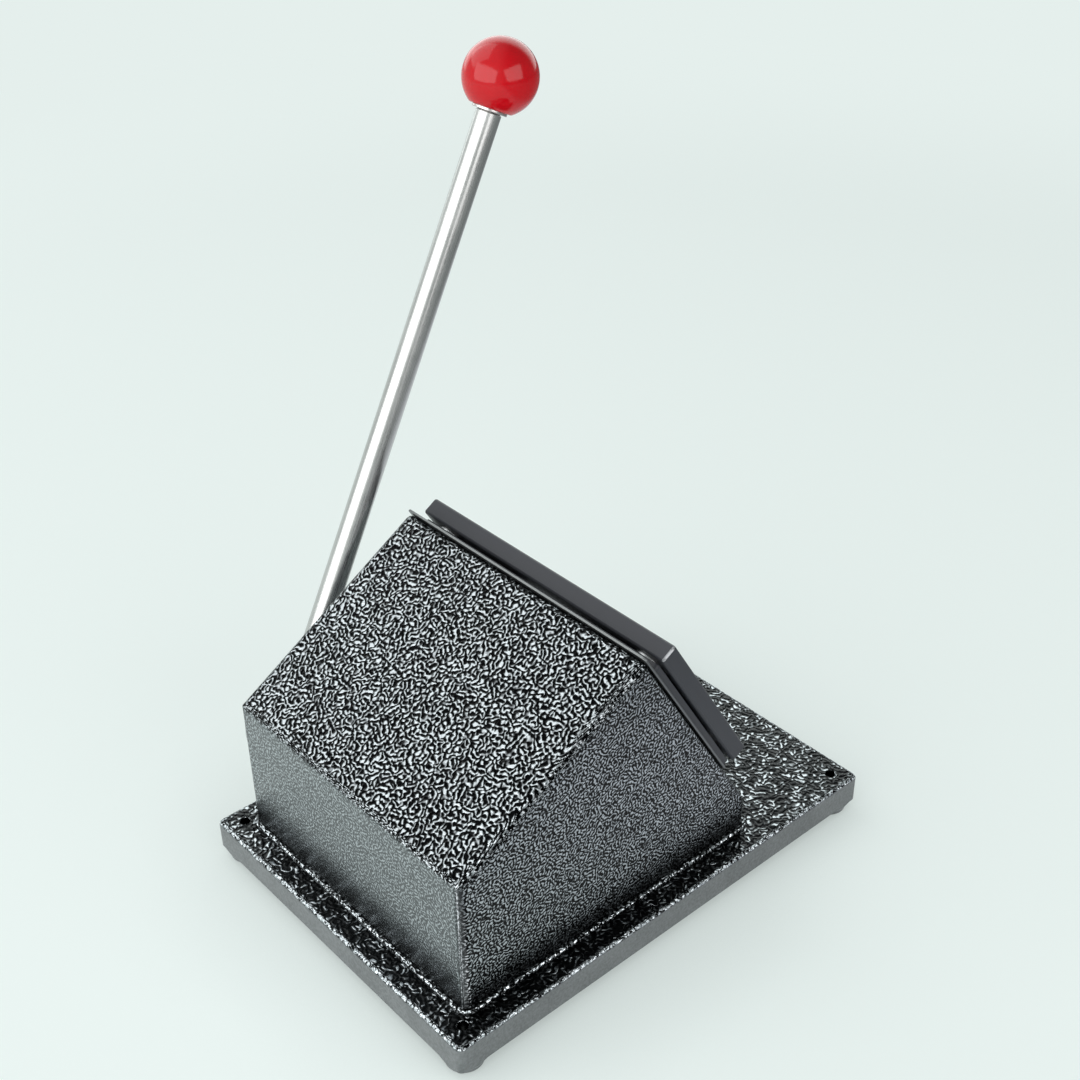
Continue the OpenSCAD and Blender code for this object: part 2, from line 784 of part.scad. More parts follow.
module punch_guide() {
    color(bronze) difference() {
        union() {
            on_axis(-front_wall) cylinder(d = guide_d, h = front_wall);
            on_axis(guide_back_n) cylinder(d = guide_flange_d, h = guide_flange_t);
        }
        on_axis(guide_back_n - cut)
            cylinder(d = die_d + 2 * run_clear, h = front_wall + guide_flange_t + 2 * cut);
        at_posts(guide_back_n - cut)
            cylinder(d = spring_d + 2 * spring_room, h = guide_flange_t + cut);
    }
}

module guide_posts() {
    color(bright_steel) {
        at_posts(post_shoulder_n) cylinder(d = post_d, h = -front_wall - post_shoulder_n);
        at_posts(-front_wall) cylinder(d = post_thread_d, h = front_wall - rest_gap);
        at_posts(post_end_n) cylinder(d = post_thread_d, h = post_shoulder_n - post_end_n);
    }
}

module post_washers() {
    color(bright_steel) at_posts(post_shoulder_n - post_washer_t)
        ring(post_washer_d, post_thread_d + 2 * fit_clear, post_washer_t);
}

module post_nuts() {
    color(screw_black) at_posts(post_shoulder_n - post_washer_t - post_nut_h)
        nut(post_nut_d, post_thread_d + 2 * fit_clear, post_nut_h);
}

// One wire swept round all the curls, closed by a flat end at each side
module spring_coil() {
    rings = [for (i = [0 : spring_steps]) curl_ring(i / rings_per_curl)];
    points = [for (r = rings) each r];
    last = spring_steps * wire_sides;
    skin = [for (i = [0 : spring_steps - 1], k = [0 : wire_sides - 1])
        let (
            a = i * wire_sides + k,
            b = i * wire_sides + (k + 1) % wire_sides
        )
        each [[a, b, b + wire_sides], [a, b + wire_sides, a + wire_sides]]];
    start_cap = [for (k = [1 : wire_sides - 2]) [0, k + 1, k]];
    end_cap = [for (k = [1 : wire_sides - 2]) [last, last + k, last + k + 1]];
    polyhedron(points, concat(skin, start_cap, end_cap));
}

module return_springs() {
    color(bright_steel) at_posts(spring_low) spring_coil();
}

// Ram

module punch() {
    color(tool_steel) difference() {
        union() {
            on_axis(punch_stop_n) cylinder(d = die_d, h = punch_face_n - punch_stop_n);
            on_axis(punch_back_n) cylinder(d = punch_flange_d, h = punch_flange_t);
        }
        on_axis(punch_back_n - cut)
            cylinder(d = ram_bolt_d + 2 * fit_clear, h = ram_bolt_thread + 2 * cut);
    }
}

module ram_column() {
    color(tool_steel) on_axis(column_back_n)
        ring(column_d, ram_bolt_d + 2 * screw_clear, column_len);
}

module crosshead() {
    bush_hole = post_d + 2 * (run_clear + post_bush_t + fit_clear);
    color(plate_grey) difference() {
        union() {
            on_axis(crosshead_back_n) {
                cylinder(d = crosshead_disc_d, h = crosshead_t);
                translate([-post_pitch / 2, -crosshead_arm_w / 2, 0])
                    cube([post_pitch, crosshead_arm_w, crosshead_t]);
            }
            at_posts(crosshead_back_n) cylinder(d = crosshead_arm_w, h = crosshead_t);
            on_axis(boss_back_n) cylinder(d = pad_d, h = crosshead_boss_len + cut);
        }
        at_posts(crosshead_back_n - cut) cylinder(d = bush_hole, h = crosshead_t + 2 * cut);
        on_axis(boss_back_n - cut) {
            cylinder(d = ram_bolt_d + 2 * screw_clear, h = column_back_n - boss_back_n + 2 * cut);
            cylinder(d = ram_bolt_head_d + 2 * screw_clear, h = ram_bolt_head_h + 2 * cut);
        }
        at_pad_screws(boss_back_n - cut)
            cylinder(d = pad_screw_d + 2 * fit_clear, h = pad_screw_thread + 2 * cut);
    }
}

module crosshead_bushes() {
    color(bronze) at_posts(crosshead_back_n)
        ring(post_d + 2 * (run_clear + post_bush_t), post_d + 2 * run_clear, crosshead_t);
}

module ram_bolt() {
    seat_n = boss_back_n + ram_bolt_head_h + cut;
    color(screw_black) on_axis(seat_n) mirror([0, 0, 1])
        socket_screw(ram_bolt_d, punch_back_n + ram_bolt_thread - seat_n,
            ram_bolt_head_d, ram_bolt_head_h);
}

module follower_pad() {
    color(tool_steel) difference() {
        on_axis(pad_back_n) cylinder(d = pad_d, h = pad_t);
        at_pad_screws(pad_back_n) mirror([0, 0, 1])
            flat_screw_hole(pad_screw_d, pad_t + cut, pad_screw_head_d);
    }
}

module pad_screws() {
    color(screw_black) at_pad_screws(pad_back_n) mirror([0, 0, 1])
        flat_screw(pad_screw_d, pad_t + pad_screw_thread, pad_screw_head_d);
}

// Shaft, cam and lever

module cam_pin_hole(clear) {
    on_shaft(cam_w / 2 + cam_hub_len / 2) rotate([90, 0, 0])
        cylinder(d = cam_pin_d + 2 * clear, h = cam_hub_d + 2 * cut, center = true);
}

module cam_shaft() {
    color(bright_steel) difference() {
        along_shaft(shaft_start_x) turned_rod(shaft_d, shaft_end_x - shaft_start_x);
        along_shaft(ring_x) ring(shaft_d + 2 * cut, shaft_d - 2 * ring_depth, ring_t);
        along_shaft(shaft_end_x - end_screw_thread - cut)
            cylinder(d = end_screw_d + 2 * fit_clear, h = end_screw_thread + 2 * cut);
        cam_pin_hole(fit_clear);
        on_lever() translate([0, 0, -rod_depth - cut])
            cylinder(d = rod_thread_d + 2 * fit_clear, h = shaft_d);
    }
}

module cam() {
    steps = 24;
    last = pull_angle + cam_overrun;
    rise = [for (i = [0 : steps]) cam_point(last * i / steps)];
    tip_back = cam_base_r * [cos(pull_angle), -sin(pull_angle)];
    color(tool_steel) difference() {
        union() {
            on_shaft(-cam_w / 2) linear_extrude(cam_w) {
                circle(cam_base_r);
                polygon(concat([[0, 0], [0, cam_base_r]], rise, [tip_back]));
            }
            on_shaft(0) cylinder(d = cam_hub_d, h = cam_w / 2 + cam_hub_len);
        }
        on_shaft(-cam_w / 2 - cut)
            cylinder(d = shaft_d + 2 * fit_clear, h = cam_w + cam_hub_len + 2 * cut);
        cam_pin_hole(fit_clear);
    }
}

module cam_pin() {
    color(bright_steel) on_shaft(cam_w / 2 + cam_hub_len / 2) rotate([90, 0, 0])
        translate([0, 0, -cam_hub_d / 2]) turned_rod(cam_pin_d, cam_hub_d);
}

module shaft_bush(x, len) {
    color(bronze) along_shaft(x) ring(bush_d, shaft_d + 2 * run_clear, len);
}

module shaft_bush_left() {
    shaft_bush(-blind_x, blind_x - boss_x);
}

module shaft_bush_right() {
    shaft_bush(boss_x, bearing_x - boss_x);
}

// Open ring in the shaft's groove
module retaining_ring() {
    inner_d = shaft_d - 2 * ring_depth + 2 * fit_clear;
    color(tool_steel) along_shaft(ring_x + fit_clear) difference() {
        ring(ring_d, inner_d, ring_t - 2 * fit_clear);
        translate([0, -inner_d / 4, -cut]) cube([ring_d, inner_d / 2, ring_t + 2 * cut]);
    }
}

module thrust_washer() {
    color(bronze) along_shaft(bearing_x + rest_gap / 2)
        ring(thrust_d, shaft_d + 2 * run_clear, thrust_t - rest_gap);
}

module lever_hub() {
    r = hub_d / 2;
    bore = shaft_d / 2 + fit_clear;
    color(bright_steel) difference() {
        along_shaft(hub_x) rotate_extrude() polygon([
            [bore, 0], [r - hub_chamfer, 0], [r, hub_chamfer],
            [r, hub_len - hub_chamfer], [r - hub_chamfer, hub_len], [bore, hub_len]
        ]);
        on_lever() translate([0, 0, hub_seat]) cylinder(d = lock_nut_d + 2 * hub_flat, h = hub_d);
        on_lever() cylinder(d = rod_thread_d + 2 * fit_clear, h = hub_d);
    }
}

module end_washer() {
    color(bright_steel) along_shaft(hub_end_x)
        ring(end_washer_d, end_screw_d + 2 * screw_clear, end_washer_t);
}

module end_screw() {
    head_d = 1.7 * end_screw_d;
    len = end_washer_t + rest_gap + end_screw_thread;
    color(screw_black) along_shaft(hub_end_x + end_washer_t)
        socket_screw(end_screw_d, len, head_d, end_screw_d * 0.7);
}

module lever_rod() {
    color(bright_steel) on_lever() {
        translate([0, 0, -rod_depth]) cylinder(d = rod_thread_d, h = rod_shoulder + rod_depth);
        translate([0, 0, rod_shoulder]) turned_rod(rod_d, insert_foot - rod_shoulder);
        translate([0, 0, insert_foot - cut]) cylinder(d = rod_tip_d, h = insert_len + cut);
    }
}

module lock_nut() {
    color(screw_black) on_lever() translate([0, 0, hub_seat])
        nut(lock_nut_d, rod_thread_d + 2 * fit_clear, lock_nut_h);
}

module knob_insert() {
    color(bronze) on_lever() difference() {
        union() {
            translate([0, 0, insert_foot]) cylinder(d = insert_collar_d, h = insert_collar_h);
            translate([0, 0, knob_flat]) cylinder(d = insert_d, h = insert_len);
        }
        translate([0, 0, insert_foot - cut])
            cylinder(d = rod_tip_d + 2 * fit_clear, h = insert_collar_h + insert_len + 2 * cut);
    }
}

module ball_knob() {
    color(knob_red) on_lever() difference() {
        translate([0, 0, lever_len]) sphere(d = knob_d);
        translate([0, 0, knob_flat - knob_d]) cylinder(d = knob_d, h = knob_d);
        translate([0, 0, knob_flat - cut])
            cylinder(d = insert_d + 2 * fit_clear, h = insert_len + rest_gap + cut);
    }
}

base_plate();
rubber_feet();
housing();
housing_screws();
shaft_bush_left();
shaft_bush_right();
guide_sheet();
stripper_plate();
slot_spacers();
die_plate();
die_screws();
dowel_pins();
punch_guide();
guide_posts();
post_washers();
post_nuts();
return_springs();
punch();
ram_column();
crosshead();
crosshead_bushes();
ram_bolt();
follower_pad();
pad_screws();
cam_shaft();
cam();
cam_pin();
retaining_ring();
thrust_washer();
lever_hub();
end_washer();
end_screw();
lever_rod();
lock_nut();
knob_insert();
ball_knob();
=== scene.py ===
import json
from functools import cache
from math import atan2, cos, pi, radians, sin, sqrt

import bmesh
import bpy
from bpy.props import FloatProperty, FloatVectorProperty, IntProperty, PointerProperty
from bpy.types import Operator, Panel, PropertyGroup
from mathutils import Matrix, Vector


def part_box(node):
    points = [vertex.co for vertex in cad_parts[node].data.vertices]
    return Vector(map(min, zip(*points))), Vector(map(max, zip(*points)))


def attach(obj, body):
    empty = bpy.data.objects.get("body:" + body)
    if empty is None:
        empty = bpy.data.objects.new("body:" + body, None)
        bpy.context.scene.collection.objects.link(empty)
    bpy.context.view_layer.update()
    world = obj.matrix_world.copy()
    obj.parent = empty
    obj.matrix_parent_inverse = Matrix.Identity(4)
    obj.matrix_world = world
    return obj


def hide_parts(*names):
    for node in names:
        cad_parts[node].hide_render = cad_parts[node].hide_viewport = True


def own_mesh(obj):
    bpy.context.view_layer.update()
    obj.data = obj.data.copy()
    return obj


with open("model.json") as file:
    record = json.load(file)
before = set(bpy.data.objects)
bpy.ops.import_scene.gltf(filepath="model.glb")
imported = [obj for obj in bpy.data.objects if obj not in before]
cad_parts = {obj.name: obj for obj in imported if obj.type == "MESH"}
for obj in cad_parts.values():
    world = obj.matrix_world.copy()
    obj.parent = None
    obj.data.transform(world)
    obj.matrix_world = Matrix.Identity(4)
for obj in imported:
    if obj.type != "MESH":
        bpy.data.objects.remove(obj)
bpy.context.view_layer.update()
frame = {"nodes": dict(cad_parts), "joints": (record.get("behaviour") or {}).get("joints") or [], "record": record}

bl_info = {
    "name": "Badge Blank Cutter",
    "version": (1, 0, 0),
    "blender": (4, 5, 0),
    "location": "View3D > Sidebar > Cutter",
    "description": "Finishes the pieces of a lever die cutter and sets up its studio",
    "category": "Object",
}

RECORD = frame["record"]
BODY_OF = {node: body for body, nodes in RECORD["behaviour"]["bodies"].items() for node in nodes}
JOINT = {joint["name"]: joint for joint in frame["joints"]}
SHAFT = Vector(JOINT["lever_hinge"]["pos_m"])
PUNCH_AXIS = Vector(JOINT["ram_slide"]["axis"])
TILT = atan2(PUNCH_AXIS.z, -PUNCH_AXIS.y)
ORIGIN = Matrix()
HALF_TURN = Matrix.Rotation(pi, 4, "X")

# Places on the solids, in metres
TOLERANCE = 2e-5
GUIDE_REACH = 0.050  # front edges nearer to the punch axis stay sharp
BOSS_X = 0.0755  # the bearing boss lies beyond
SPRING_BACK, SPRING_FRONT = -0.05598, -0.008  # springs' seats, as heights above the front slope

# Screws, in metres
FLAT_M6 = {"shank_r": 0.003, "head_r": 0.006, "head_h": 0.003, "flat": True}
FLAT_M4 = {"shank_r": 0.002, "head_r": 0.00375, "head_h": 0.00175, "flat": True}
CAP_M6 = {"shank_r": 0.003, "head_r": 0.005, "head_h": 0.006}
LOW_CAP_M6 = {"shank_r": 0.003, "head_r": 0.0051, "head_h": 0.0042}
CAP_M12 = {"shank_r": 0.006, "head_r": 0.009, "head_h": 0.012}
DIE_SCREW_REACH = 0.027
COARSE_FROM, COARSE = 0.004, 1.5  # shank radius from which the pitch is coarser, and by how much
SCREW_POINTS, NUT_POINTS, BALL_POINTS, BALL_ROWS = 48, 72, 128, 61

# Hammered paint: limits of a face's normal between which its look changes
UPWARD = (0.15, 0.55)  # upward part, from walls to roof
LEVEL = (0.92, 0.99)  # upward part, from the roof to level faces
EDGE_START, EDGE_END = (0.30, 0.45), (0.90, 0.97)  # upward part, on rounded edges, where highlights are painted
BACKWARD = (0.25, 0.75)  # backward part, from the side walls to the back wall, which is painted lighter
CORNER_SHADE = (0.10, 0.35)  # smaller one of the sideways and backward parts, on upright corners, where shade is painted
SIDEWAYS = 0.7  # sideways part, on the side walls

MIDDLE = (0.3, 0.7)  # range of a noise that holds most of its values

# Studio: colours in linear light, and lamps with their power's property, width, height, distance
# from the point that they aim at, and direction from it
COOL_FLOOR, SKY = (0.90, 0.915, 1.0), (0.93, 1.0, 0.985)
FAR = (0.75, 1.25)  # distances between which the floor takes its far tone
AIM = Vector((0, 0.05, 0.11))
LAMPS = (("key_lamp", "key_power", 2.2, 2.2, 2.4, (0.636, 0.219, 0.739)),
         ("left_lamp", "left_power", 2.6, 1.4, 1.8, (0.02, 0.91, 0.42)),
         ("right_lamp", "right_power", 1.8, 1.2, 1.8, (-0.88, -0.10, 0.42)))


def length(name, description, default):
    """A length that a user can change, in metres."""
    return FloatProperty(name=name, description=description, default=default, min=0.0,
                         precision=5, subtype="DISTANCE", unit="LENGTH")


def turning(name, description, degrees):
    """An angle that a user can change, given in degrees."""
    return FloatProperty(name=name, description=description, default=radians(degrees),
                         subtype="ANGLE", unit="ROTATION")


def portion(name, description, default):
    """A share that a user can change."""
    return FloatProperty(name=name, description=description, default=default, min=0.0, max=1.0,
                         subtype="FACTOR")


def power(name, description, default):
    """A lamp's power that a user can change, in watts."""
    return FloatProperty(name=name, description=description, default=default,
                         subtype="POWER", unit="POWER")


def colour(name, description, default):
    """A colour that a user can change, in linear light."""
    return FloatVectorProperty(name=name, description=description, default=default, size=3,
                               min=0.0, max=1.0, subtype="COLOR")


class CutterSizes(PropertyGroup):
    """Sizes of the finished pieces."""

    cast_round: length("Casting edges", "Rounding of the castings' small edges", 0.0004)
    front_round: length("Front edges", "Rounding of the housing's edges round its slope", 0.0026)
    lip_round: length("Lip edge", "Rounding of the lip at the housing's foot", 0.0016)
    plate_round: length("Plate edges", "Edge break of the plates", 0.0003)
    turned_round: length("Turned edges", "Edge break of turned and moulded pieces", 0.0003)
    fine_round: length("Fine edges", "Edge break of small and ground pieces", 0.0002)
    thin_round: length("Thin edges", "Edge break of the thin spacers", 0.0001)
    lip_top: length("Lip height", "Height of the lip's top", 0.0212)
    base_top: length("Base height", "Height of the base's top", 0.0190)
    side_top: length("Base sides", "Height up to which the base's sides are smooth", 0.0180)
    bench_across: length("Bench holes across", "Distance between bench holes across", 0.152)
    bench_along: length("Bench holes along", "Distance between bench holes along", 0.214)
    bench_r: length("Bench hole radius", "Radius of a bench hole", 0.00225)
    ridge_y: length("Ridge place", "Level place of the housing's ridge", 0.0105)
    ridge_z: length("Ridge height", "Height of the housing's ridge", 0.14032)
    wall_pitch: length("Wall paint", "Spacing of the paint's ridges on the walls", 0.0016)
    roof_pitch: length("Roof paint", "Spacing of the paint's ridges on the roof", 0.0021)
    level_pitch: length("Base paint", "Spacing of the paint's ridges on the base", 0.0024)
    paint_depth: length("Paint depth", "Depth of the paint's relief", 0.0006)
    # Painted shade: the walls darken towards their foot, in place of the dark base top that they reflect
    foot_shade: length("Foot fade", "Height over which the walls' foot is darker", 0.010)
    die_mid: length("Punch place", "Distance of the punch axis below the ridge", 0.05135)
    # Corners beyond this distance take bare steel with a painted highlight
    die_face: length("Die face", "Height of the die plate's face above the slope", 0.0132)
    worn_glint_reach: length("Worn corners", "Distance from the punch axis to worn corners", 0.060)
    die_pitch_x: length("Die screws across", "Distance between die screws across", 0.122)
    die_pitch_y: length("Die screws along", "Distance between die screws up the slope", 0.0673)
    pad_pitch: length("Pad screws", "Distance between the pad's screws", 0.028)
    nut_corners: length("Nut corners", "Size of the nuts across their corners", 0.019)
    nut_bore: length("Nut bore", "Radius of the nuts' bore", 0.00503)
    lever_x: length("Lever place", "Distance of the lever from the middle", 0.090)
    lever_lean: turning("Lever lean", "Lean of the lever at rest", 27)
    lever_len: length("Lever length", "Distance from the shaft to the knob's middle", 0.2995)
    knob_r: length("Knob radius", "Radius of the ball knob", 0.016)
    knob_flat: length("Knob flat", "Radius of the flat under the knob", 0.009)
    knob_bore: length("Knob bore", "Radius of the knob's bore", 0.00603)
    knob_depth: length("Knob depth", "Depth of the knob's bore", 0.01615)
    spring_r: length("Coil radius", "Radius of a return spring's coil", 0.008)
    wire_r: length("Wire radius", "Radius of the spring wire", 0.0012)
    end_rise: length("End turns", "Rise of a spring's closed end turn", 0.003)
    spring_turns: IntProperty(name="Turns", description="Turns of a return spring", default=9,
                              min=4)
    thread_pitch: length("Thread pitch", "Pitch of the screw threads", 0.0010)


class CutterColours(PropertyGroup):
    """Colours of the finishes."""

    paint: colour("Paint", "Black ground of the hammered paint", (0.0015, 0.0016, 0.0018))
    flake: colour("Flake", "Silver flake on the paint's ridges", (0.47, 0.503, 0.525))
    # Painted reflection: the base's smooth sides take this light grey in place of the pale floor that they reflect
    sides: colour("Base sides", "Smooth paint on the base's sides", (0.203, 0.215, 0.219))
    plate: colour("Die plate", "Blackened die plate", (0.039, 0.041, 0.049))
    # Partly bare steel, partly a painted highlight: a light grey that stays bright on the die plate's corner
    # chamfers
    worn: colour("Worn corner", "Bare steel on the die plate's corners", (0.46, 0.47, 0.49))
    sheet: colour("Guide sheet", "Dull guide sheet", (0.20, 0.208, 0.21))
    steel: colour("Bright steel", "Bright plain steel", (0.66, 0.67, 0.68))
    tool: colour("Tool steel", "Ground tool steel", (0.42, 0.43, 0.44))
    chrome: colour("Rod", "Polished lever rod", (0.57, 0.57, 0.56))
    bronze: colour("Bronze", "Turned bronze", (0.60, 0.42, 0.20))
    nickel: colour("Nickel", "Plated ring under the knob", (0.66, 0.61, 0.60))
    screw: colour("Screws", "Blackened screws", (0.060, 0.060, 0.065))
    rubber: colour("Rubber", "Rubber pads under the feet", (0.030, 0.030, 0.031))
    knob: colour("Knob", "Red ball knob", (0.60, 0.004, 0.010))


class CutterStudio(PropertyGroup):
    """Camera, lamps and floor."""

    camera_place: FloatVectorProperty(name="Camera", description="Place of the camera",
                                      default=(-0.4093, 0.3525, 0.5029), subtype="XYZ",
                                      unit="LENGTH")
    azimuth: turning("Azimuth", "Side that the camera looks from", 229.16)
    elevation: turning("Elevation", "Height angle of the camera", 32.76)
    roll: turning("Roll", "Roll of the camera", -0.92)
    lens: FloatProperty(name="Lens", description="Focal length in millimetres", default=53.496)
    floor: colour("Floor", "Pale floor", (0.885, 0.975, 0.95))
    floor_half: length("Floor size", "Half of the floor's side", 6.0)
    shadow_reach: length("Shadow", "Distance over which the contact shadow fades", 0.07)
    key_power: power("Key lamp", "Power of the large lamp above", 19.5)
    left_power: power("Left lamp", "Power of the tall lamp on the left", 26.5)
    right_power: power("Right lamp", "Power of the lamp on the right", 14.5)
    ambient: FloatProperty(name="Ambient", description="Strength of the even light", default=0.15)
    even: portion("Even floor", "Share of the floor's tone that no shadow reaches", 0.65)
    far_tone: portion("Far floor", "Share of its tone that the floor keeps far away", 0.885)


def sizes():
    return bpy.context.scene.cutter_sizes


def colours():
    return bpy.context.scene.cutter_colours


# Places of the pieces


def on_slope(x, up, out):
    """Frame of the front slope: x across, y up the slope and z outward, at a point on it."""
    s = sizes()
    turn = Matrix.Rotation(pi / 2 - TILT, 4, "X")
    return Matrix.Translation((0, s.ridge_y, s.ridge_z)) @ turn @ Matrix.Translation((x, up, out))


def on_axis(out):
    """Frame on the punch axis, at a height above the front slope."""
    return on_slope(0, -sizes().die_mid, out)


def across_slope():
    """Frame on the front slope, with z across it."""
    return on_axis(0) @ Matrix.Rotation(pi / 2, 4, "Y")


def on_lever(along=0.0):
    """Frame on the lever's line, with z from the shaft to the knob."""
    s = sizes()
    place = Matrix.Translation((s.lever_x, SHAFT.y, SHAFT.z))
    return place @ Matrix.Rotation(s.lever_lean, 4, "X") @ Matrix.Translation((0, 0, along))


def along_shaft(x):
    """Frame on the cam shaft, with z along the shaft."""
    return Matrix.Translation((x, SHAFT.y, SHAFT.z)) @ Matrix.Rotation(pi / 2, 4, "Y")


# Nodes and their wires


class Node:
    """A new node: its inputs are filled or linked, and its outputs are wires."""

    def __init__(self, tree, kind, wires=None, **values):
        self.tree = tree
        self.node = tree.nodes.new(kind)
        for key, value in values.items():
            setattr(self.node, key, value)
        self.fill(wires or {})

    def fill(self, wires):
        """Sets or links inputs by their name or number."""
        for key, value in wires.items():
            socket = self.node.inputs[key]
            if isinstance(value, Wire):
                self.tree.links.new(value.socket, socket)
            else:
                socket.default_value = value

    def __getitem__(self, key):
        return Wire(self.tree, self.node.outputs[key])


class Wire:
    """A node's output, and what further nodes make of it."""

    def __init__(self, tree, socket):
        self.tree, self.socket = tree, socket

    def feed(self, kind, wires=None, into=0, **values):
        """A new node with this wire on one of its inputs."""
        return Node(self.tree, kind, {into: self, **(wires or {})}, **values)

    def maths(self, operation, *other, into=0):
        """A Math node's result for this wire and another value."""
        wires = {1 - into: value for value in other}
        return self.feed("ShaderNodeMath", wires, into, operation=operation)[0]

    def __add__(self, other):
        return self.maths("ADD", other)

    def __mul__(self, other):
        return self.maths("MULTIPLY", other)

    def __sub__(self, other):
        return self.maths("SUBTRACT", other)

    def __rsub__(self, other):
        return self.maths("SUBTRACT", other, into=1)

    def __truediv__(self, other):
        return self.maths("DIVIDE", other)

    def __rtruediv__(self, other):
        return self.maths("DIVIDE", other, into=1)

    def __abs__(self):
        return self.maths("ABSOLUTE")

    def least(self, other):
        return self.maths("MINIMUM", other)

    def greatest(self, other):
        return self.maths("MAXIMUM", other)

    def vector(self, operation, *other, result=0):
        """A Vector Math node's result for this wire and another vector."""
        wires = {1: value for value in other}
        return self.feed("ShaderNodeVectorMath", wires, operation=operation)[result]

    def scaled(self, factor):
        """This vector times a factor."""
        return self.feed("ShaderNodeVectorMath", {"Scale": factor}, operation="SCALE")[0]

    def parts(self):
        """The three parts of this vector."""
        split = self.feed("ShaderNodeSeparateXYZ")
        return [split[k] for k in range(3)]

    def stretch(self, low, high, to_low=0.0, to_high=1.0):
        """Smoothly maps a range of this value to another range."""
        wires = {"From Min": low, "From Max": high, "To Min": to_low, "To Max": to_high}
        mapped = self.feed("ShaderNodeMapRange", wires, "Value", interpolation_type="SMOOTHSTEP")
        return mapped["Result"]

    def along(self, way, *limits):
        """A smooth change of this vector's part along a direction."""
        return self.vector("DOT_PRODUCT", way, result="Value").stretch(*limits)

    def noise(self, scale, detail=2.0, rough=0.5):
        """A noise texture's value on this vector."""
        wires = {"Scale": scale, "Detail": detail, "Roughness": rough}
        return self.feed("ShaderNodeTexNoise", wires, "Vector")["Fac"]

    def blend(self, first, second):
        """Two values mixed, with this wire as the second one's share."""
        return self.feed("ShaderNodeMix", {2: first, 3: second}, data_type="FLOAT")[0]

    def tint(self, first, second):
        """Two colours mixed, with this wire as the second one's share."""
        pair = [tone if isinstance(tone, Wire) else (*tone, 1.0) for tone in (first, second)]
        return self.feed("ShaderNodeMix", {6: pair[0], 7: pair[1]}, data_type="RGBA")[2]


def joined(x, y, z):
    """A vector of a wire and two more wires or numbers."""
    return x.feed("ShaderNodeCombineXYZ", {1: y, 2: z})[0]


def shade(tone, factor):
    """A colour made lighter or darker."""
    return tuple(min(1.0, part * factor) for part in tone)


# Effects that materials share


FLOAT = "NodeSocketFloat"


def effect(name, outputs, **inputs):
    """A new shader group on a vector, with further inputs and their defaults, and its ends."""
    tree = bpy.data.node_groups.new(name, "ShaderNodeTree")
    new_socket = tree.interface.new_socket
    new_socket(name="Vector", in_out="INPUT", socket_type="NodeSocketVector")
    for label, default in inputs.items():
        new_socket(name=label, in_out="INPUT", socket_type=FLOAT).default_value = default
    for label in outputs:
        new_socket(name=label, in_out="OUTPUT", socket_type=FLOAT)
    return tree, Node(tree, "NodeGroupInput"), Node(tree, "NodeGroupOutput")


def hammered_effect():
    """Rounded ridges that run together like worms, as hammered paint dries, on a flat vector."""
    tree, given, result = effect("hammered_ridges", ("Height", "Tops", "Strokes"), Spacing=0.0020)
    flat = given["Vector"].scaled(0.5 / given["Spacing"])
    drift = flat.feed("ShaderNodeTexNoise", {"Scale": 1.3, "Detail": 1.0}, "Vector")
    bent = flat.vector("ADD", drift["Color"].vector("SUBTRACT", (0.5, 0.5, 0.5)).scaled(0.8))
    waves = bent.feed("ShaderNodeTexGabor", {"Scale": 1.0, "Frequency": 2.0, "Anisotropy": 0.0},
                      "Vector", gabor_type="2D")["Value"]
    waves = waves + (drift["Fac"] * 0.16 - 0.08)
    sparse = bent.noise(1.1, 1.0).stretch(0.46, 0.58)
    result.fill({"Height": waves.stretch(0.25, 0.75), "Tops": waves.stretch(0.48, 0.64),
                 "Strokes": waves.stretch(0.49, 0.62) * sparse})
    return tree


def lines_effect():
    """Fine straight lines along the local z, as on drawn or ground steel, and stains."""
    tree, given, result = effect("drawn_lines", ("Lines", "Stains"), Across=4000.0, Along=30.0)
    density = joined(given["Across"], given["Across"], given["Along"])
    drawn = given["Vector"].vector("MULTIPLY", density)
    result.fill({"Lines": drawn.noise(1.0, 3.0, 0.6),
                 "Stains": given["Vector"].noise(45.0, 3.0, 0.6)})
    return tree


def turned_effect():
    """Fine rings round the local z, as a lathe leaves them, and stains."""
    tree, given, result = effect("turned_rings", ("Rings", "Stains"), Pitch=0.0004)
    x, y, z = given["Vector"].parts()
    radius = (x * x + y * y).maths("SQRT")
    flat = joined(radius / given["Pitch"], z / given["Pitch"], 0.0)
    result.fill({"Rings": flat.noise(1.0, 2.0, 0.6),
                 "Stains": given["Vector"].noise(60.0, 3.0, 0.6)})
    return tree


def grain_effect():
    """Fine speckle and wide soft patches."""
    tree, given, result = effect("fine_grain", ("Speckle", "Patches"), Size=0.0006)
    fine = given["Vector"].scaled(1.0 / given["Size"])
    result.fill({"Speckle": fine.noise(1.0, 3.0, 0.6),
                 "Patches": given["Vector"].noise(40.0, 4.0, 0.6)})
    return tree


EFFECTS = {"hammered_ridges": hammered_effect, "drawn_lines": lines_effect,
           "turned_rings": turned_effect, "fine_grain": grain_effect}


def use(vector, name, **wires):
    """Places a shared effect in a material, and builds it the first time it is asked for."""
    group = bpy.data.node_groups.get(name) or EFFECTS[name]()
    return vector.feed("ShaderNodeGroup", wires, "Vector", node_tree=group)


# Finishes


def blank_finish(name):
    """A new material, its shader and the object's own coordinates."""
    material = bpy.data.materials.new(name)
    material.use_nodes = True
    tree = material.node_tree
    tree.nodes.clear()
    shader = Node(tree, "ShaderNodeBsdfPrincipled")
    Node(tree, "ShaderNodeOutputMaterial", {0: shader[0]})
    return material, shader, Node(tree, "ShaderNodeTexCoord")["Object"]


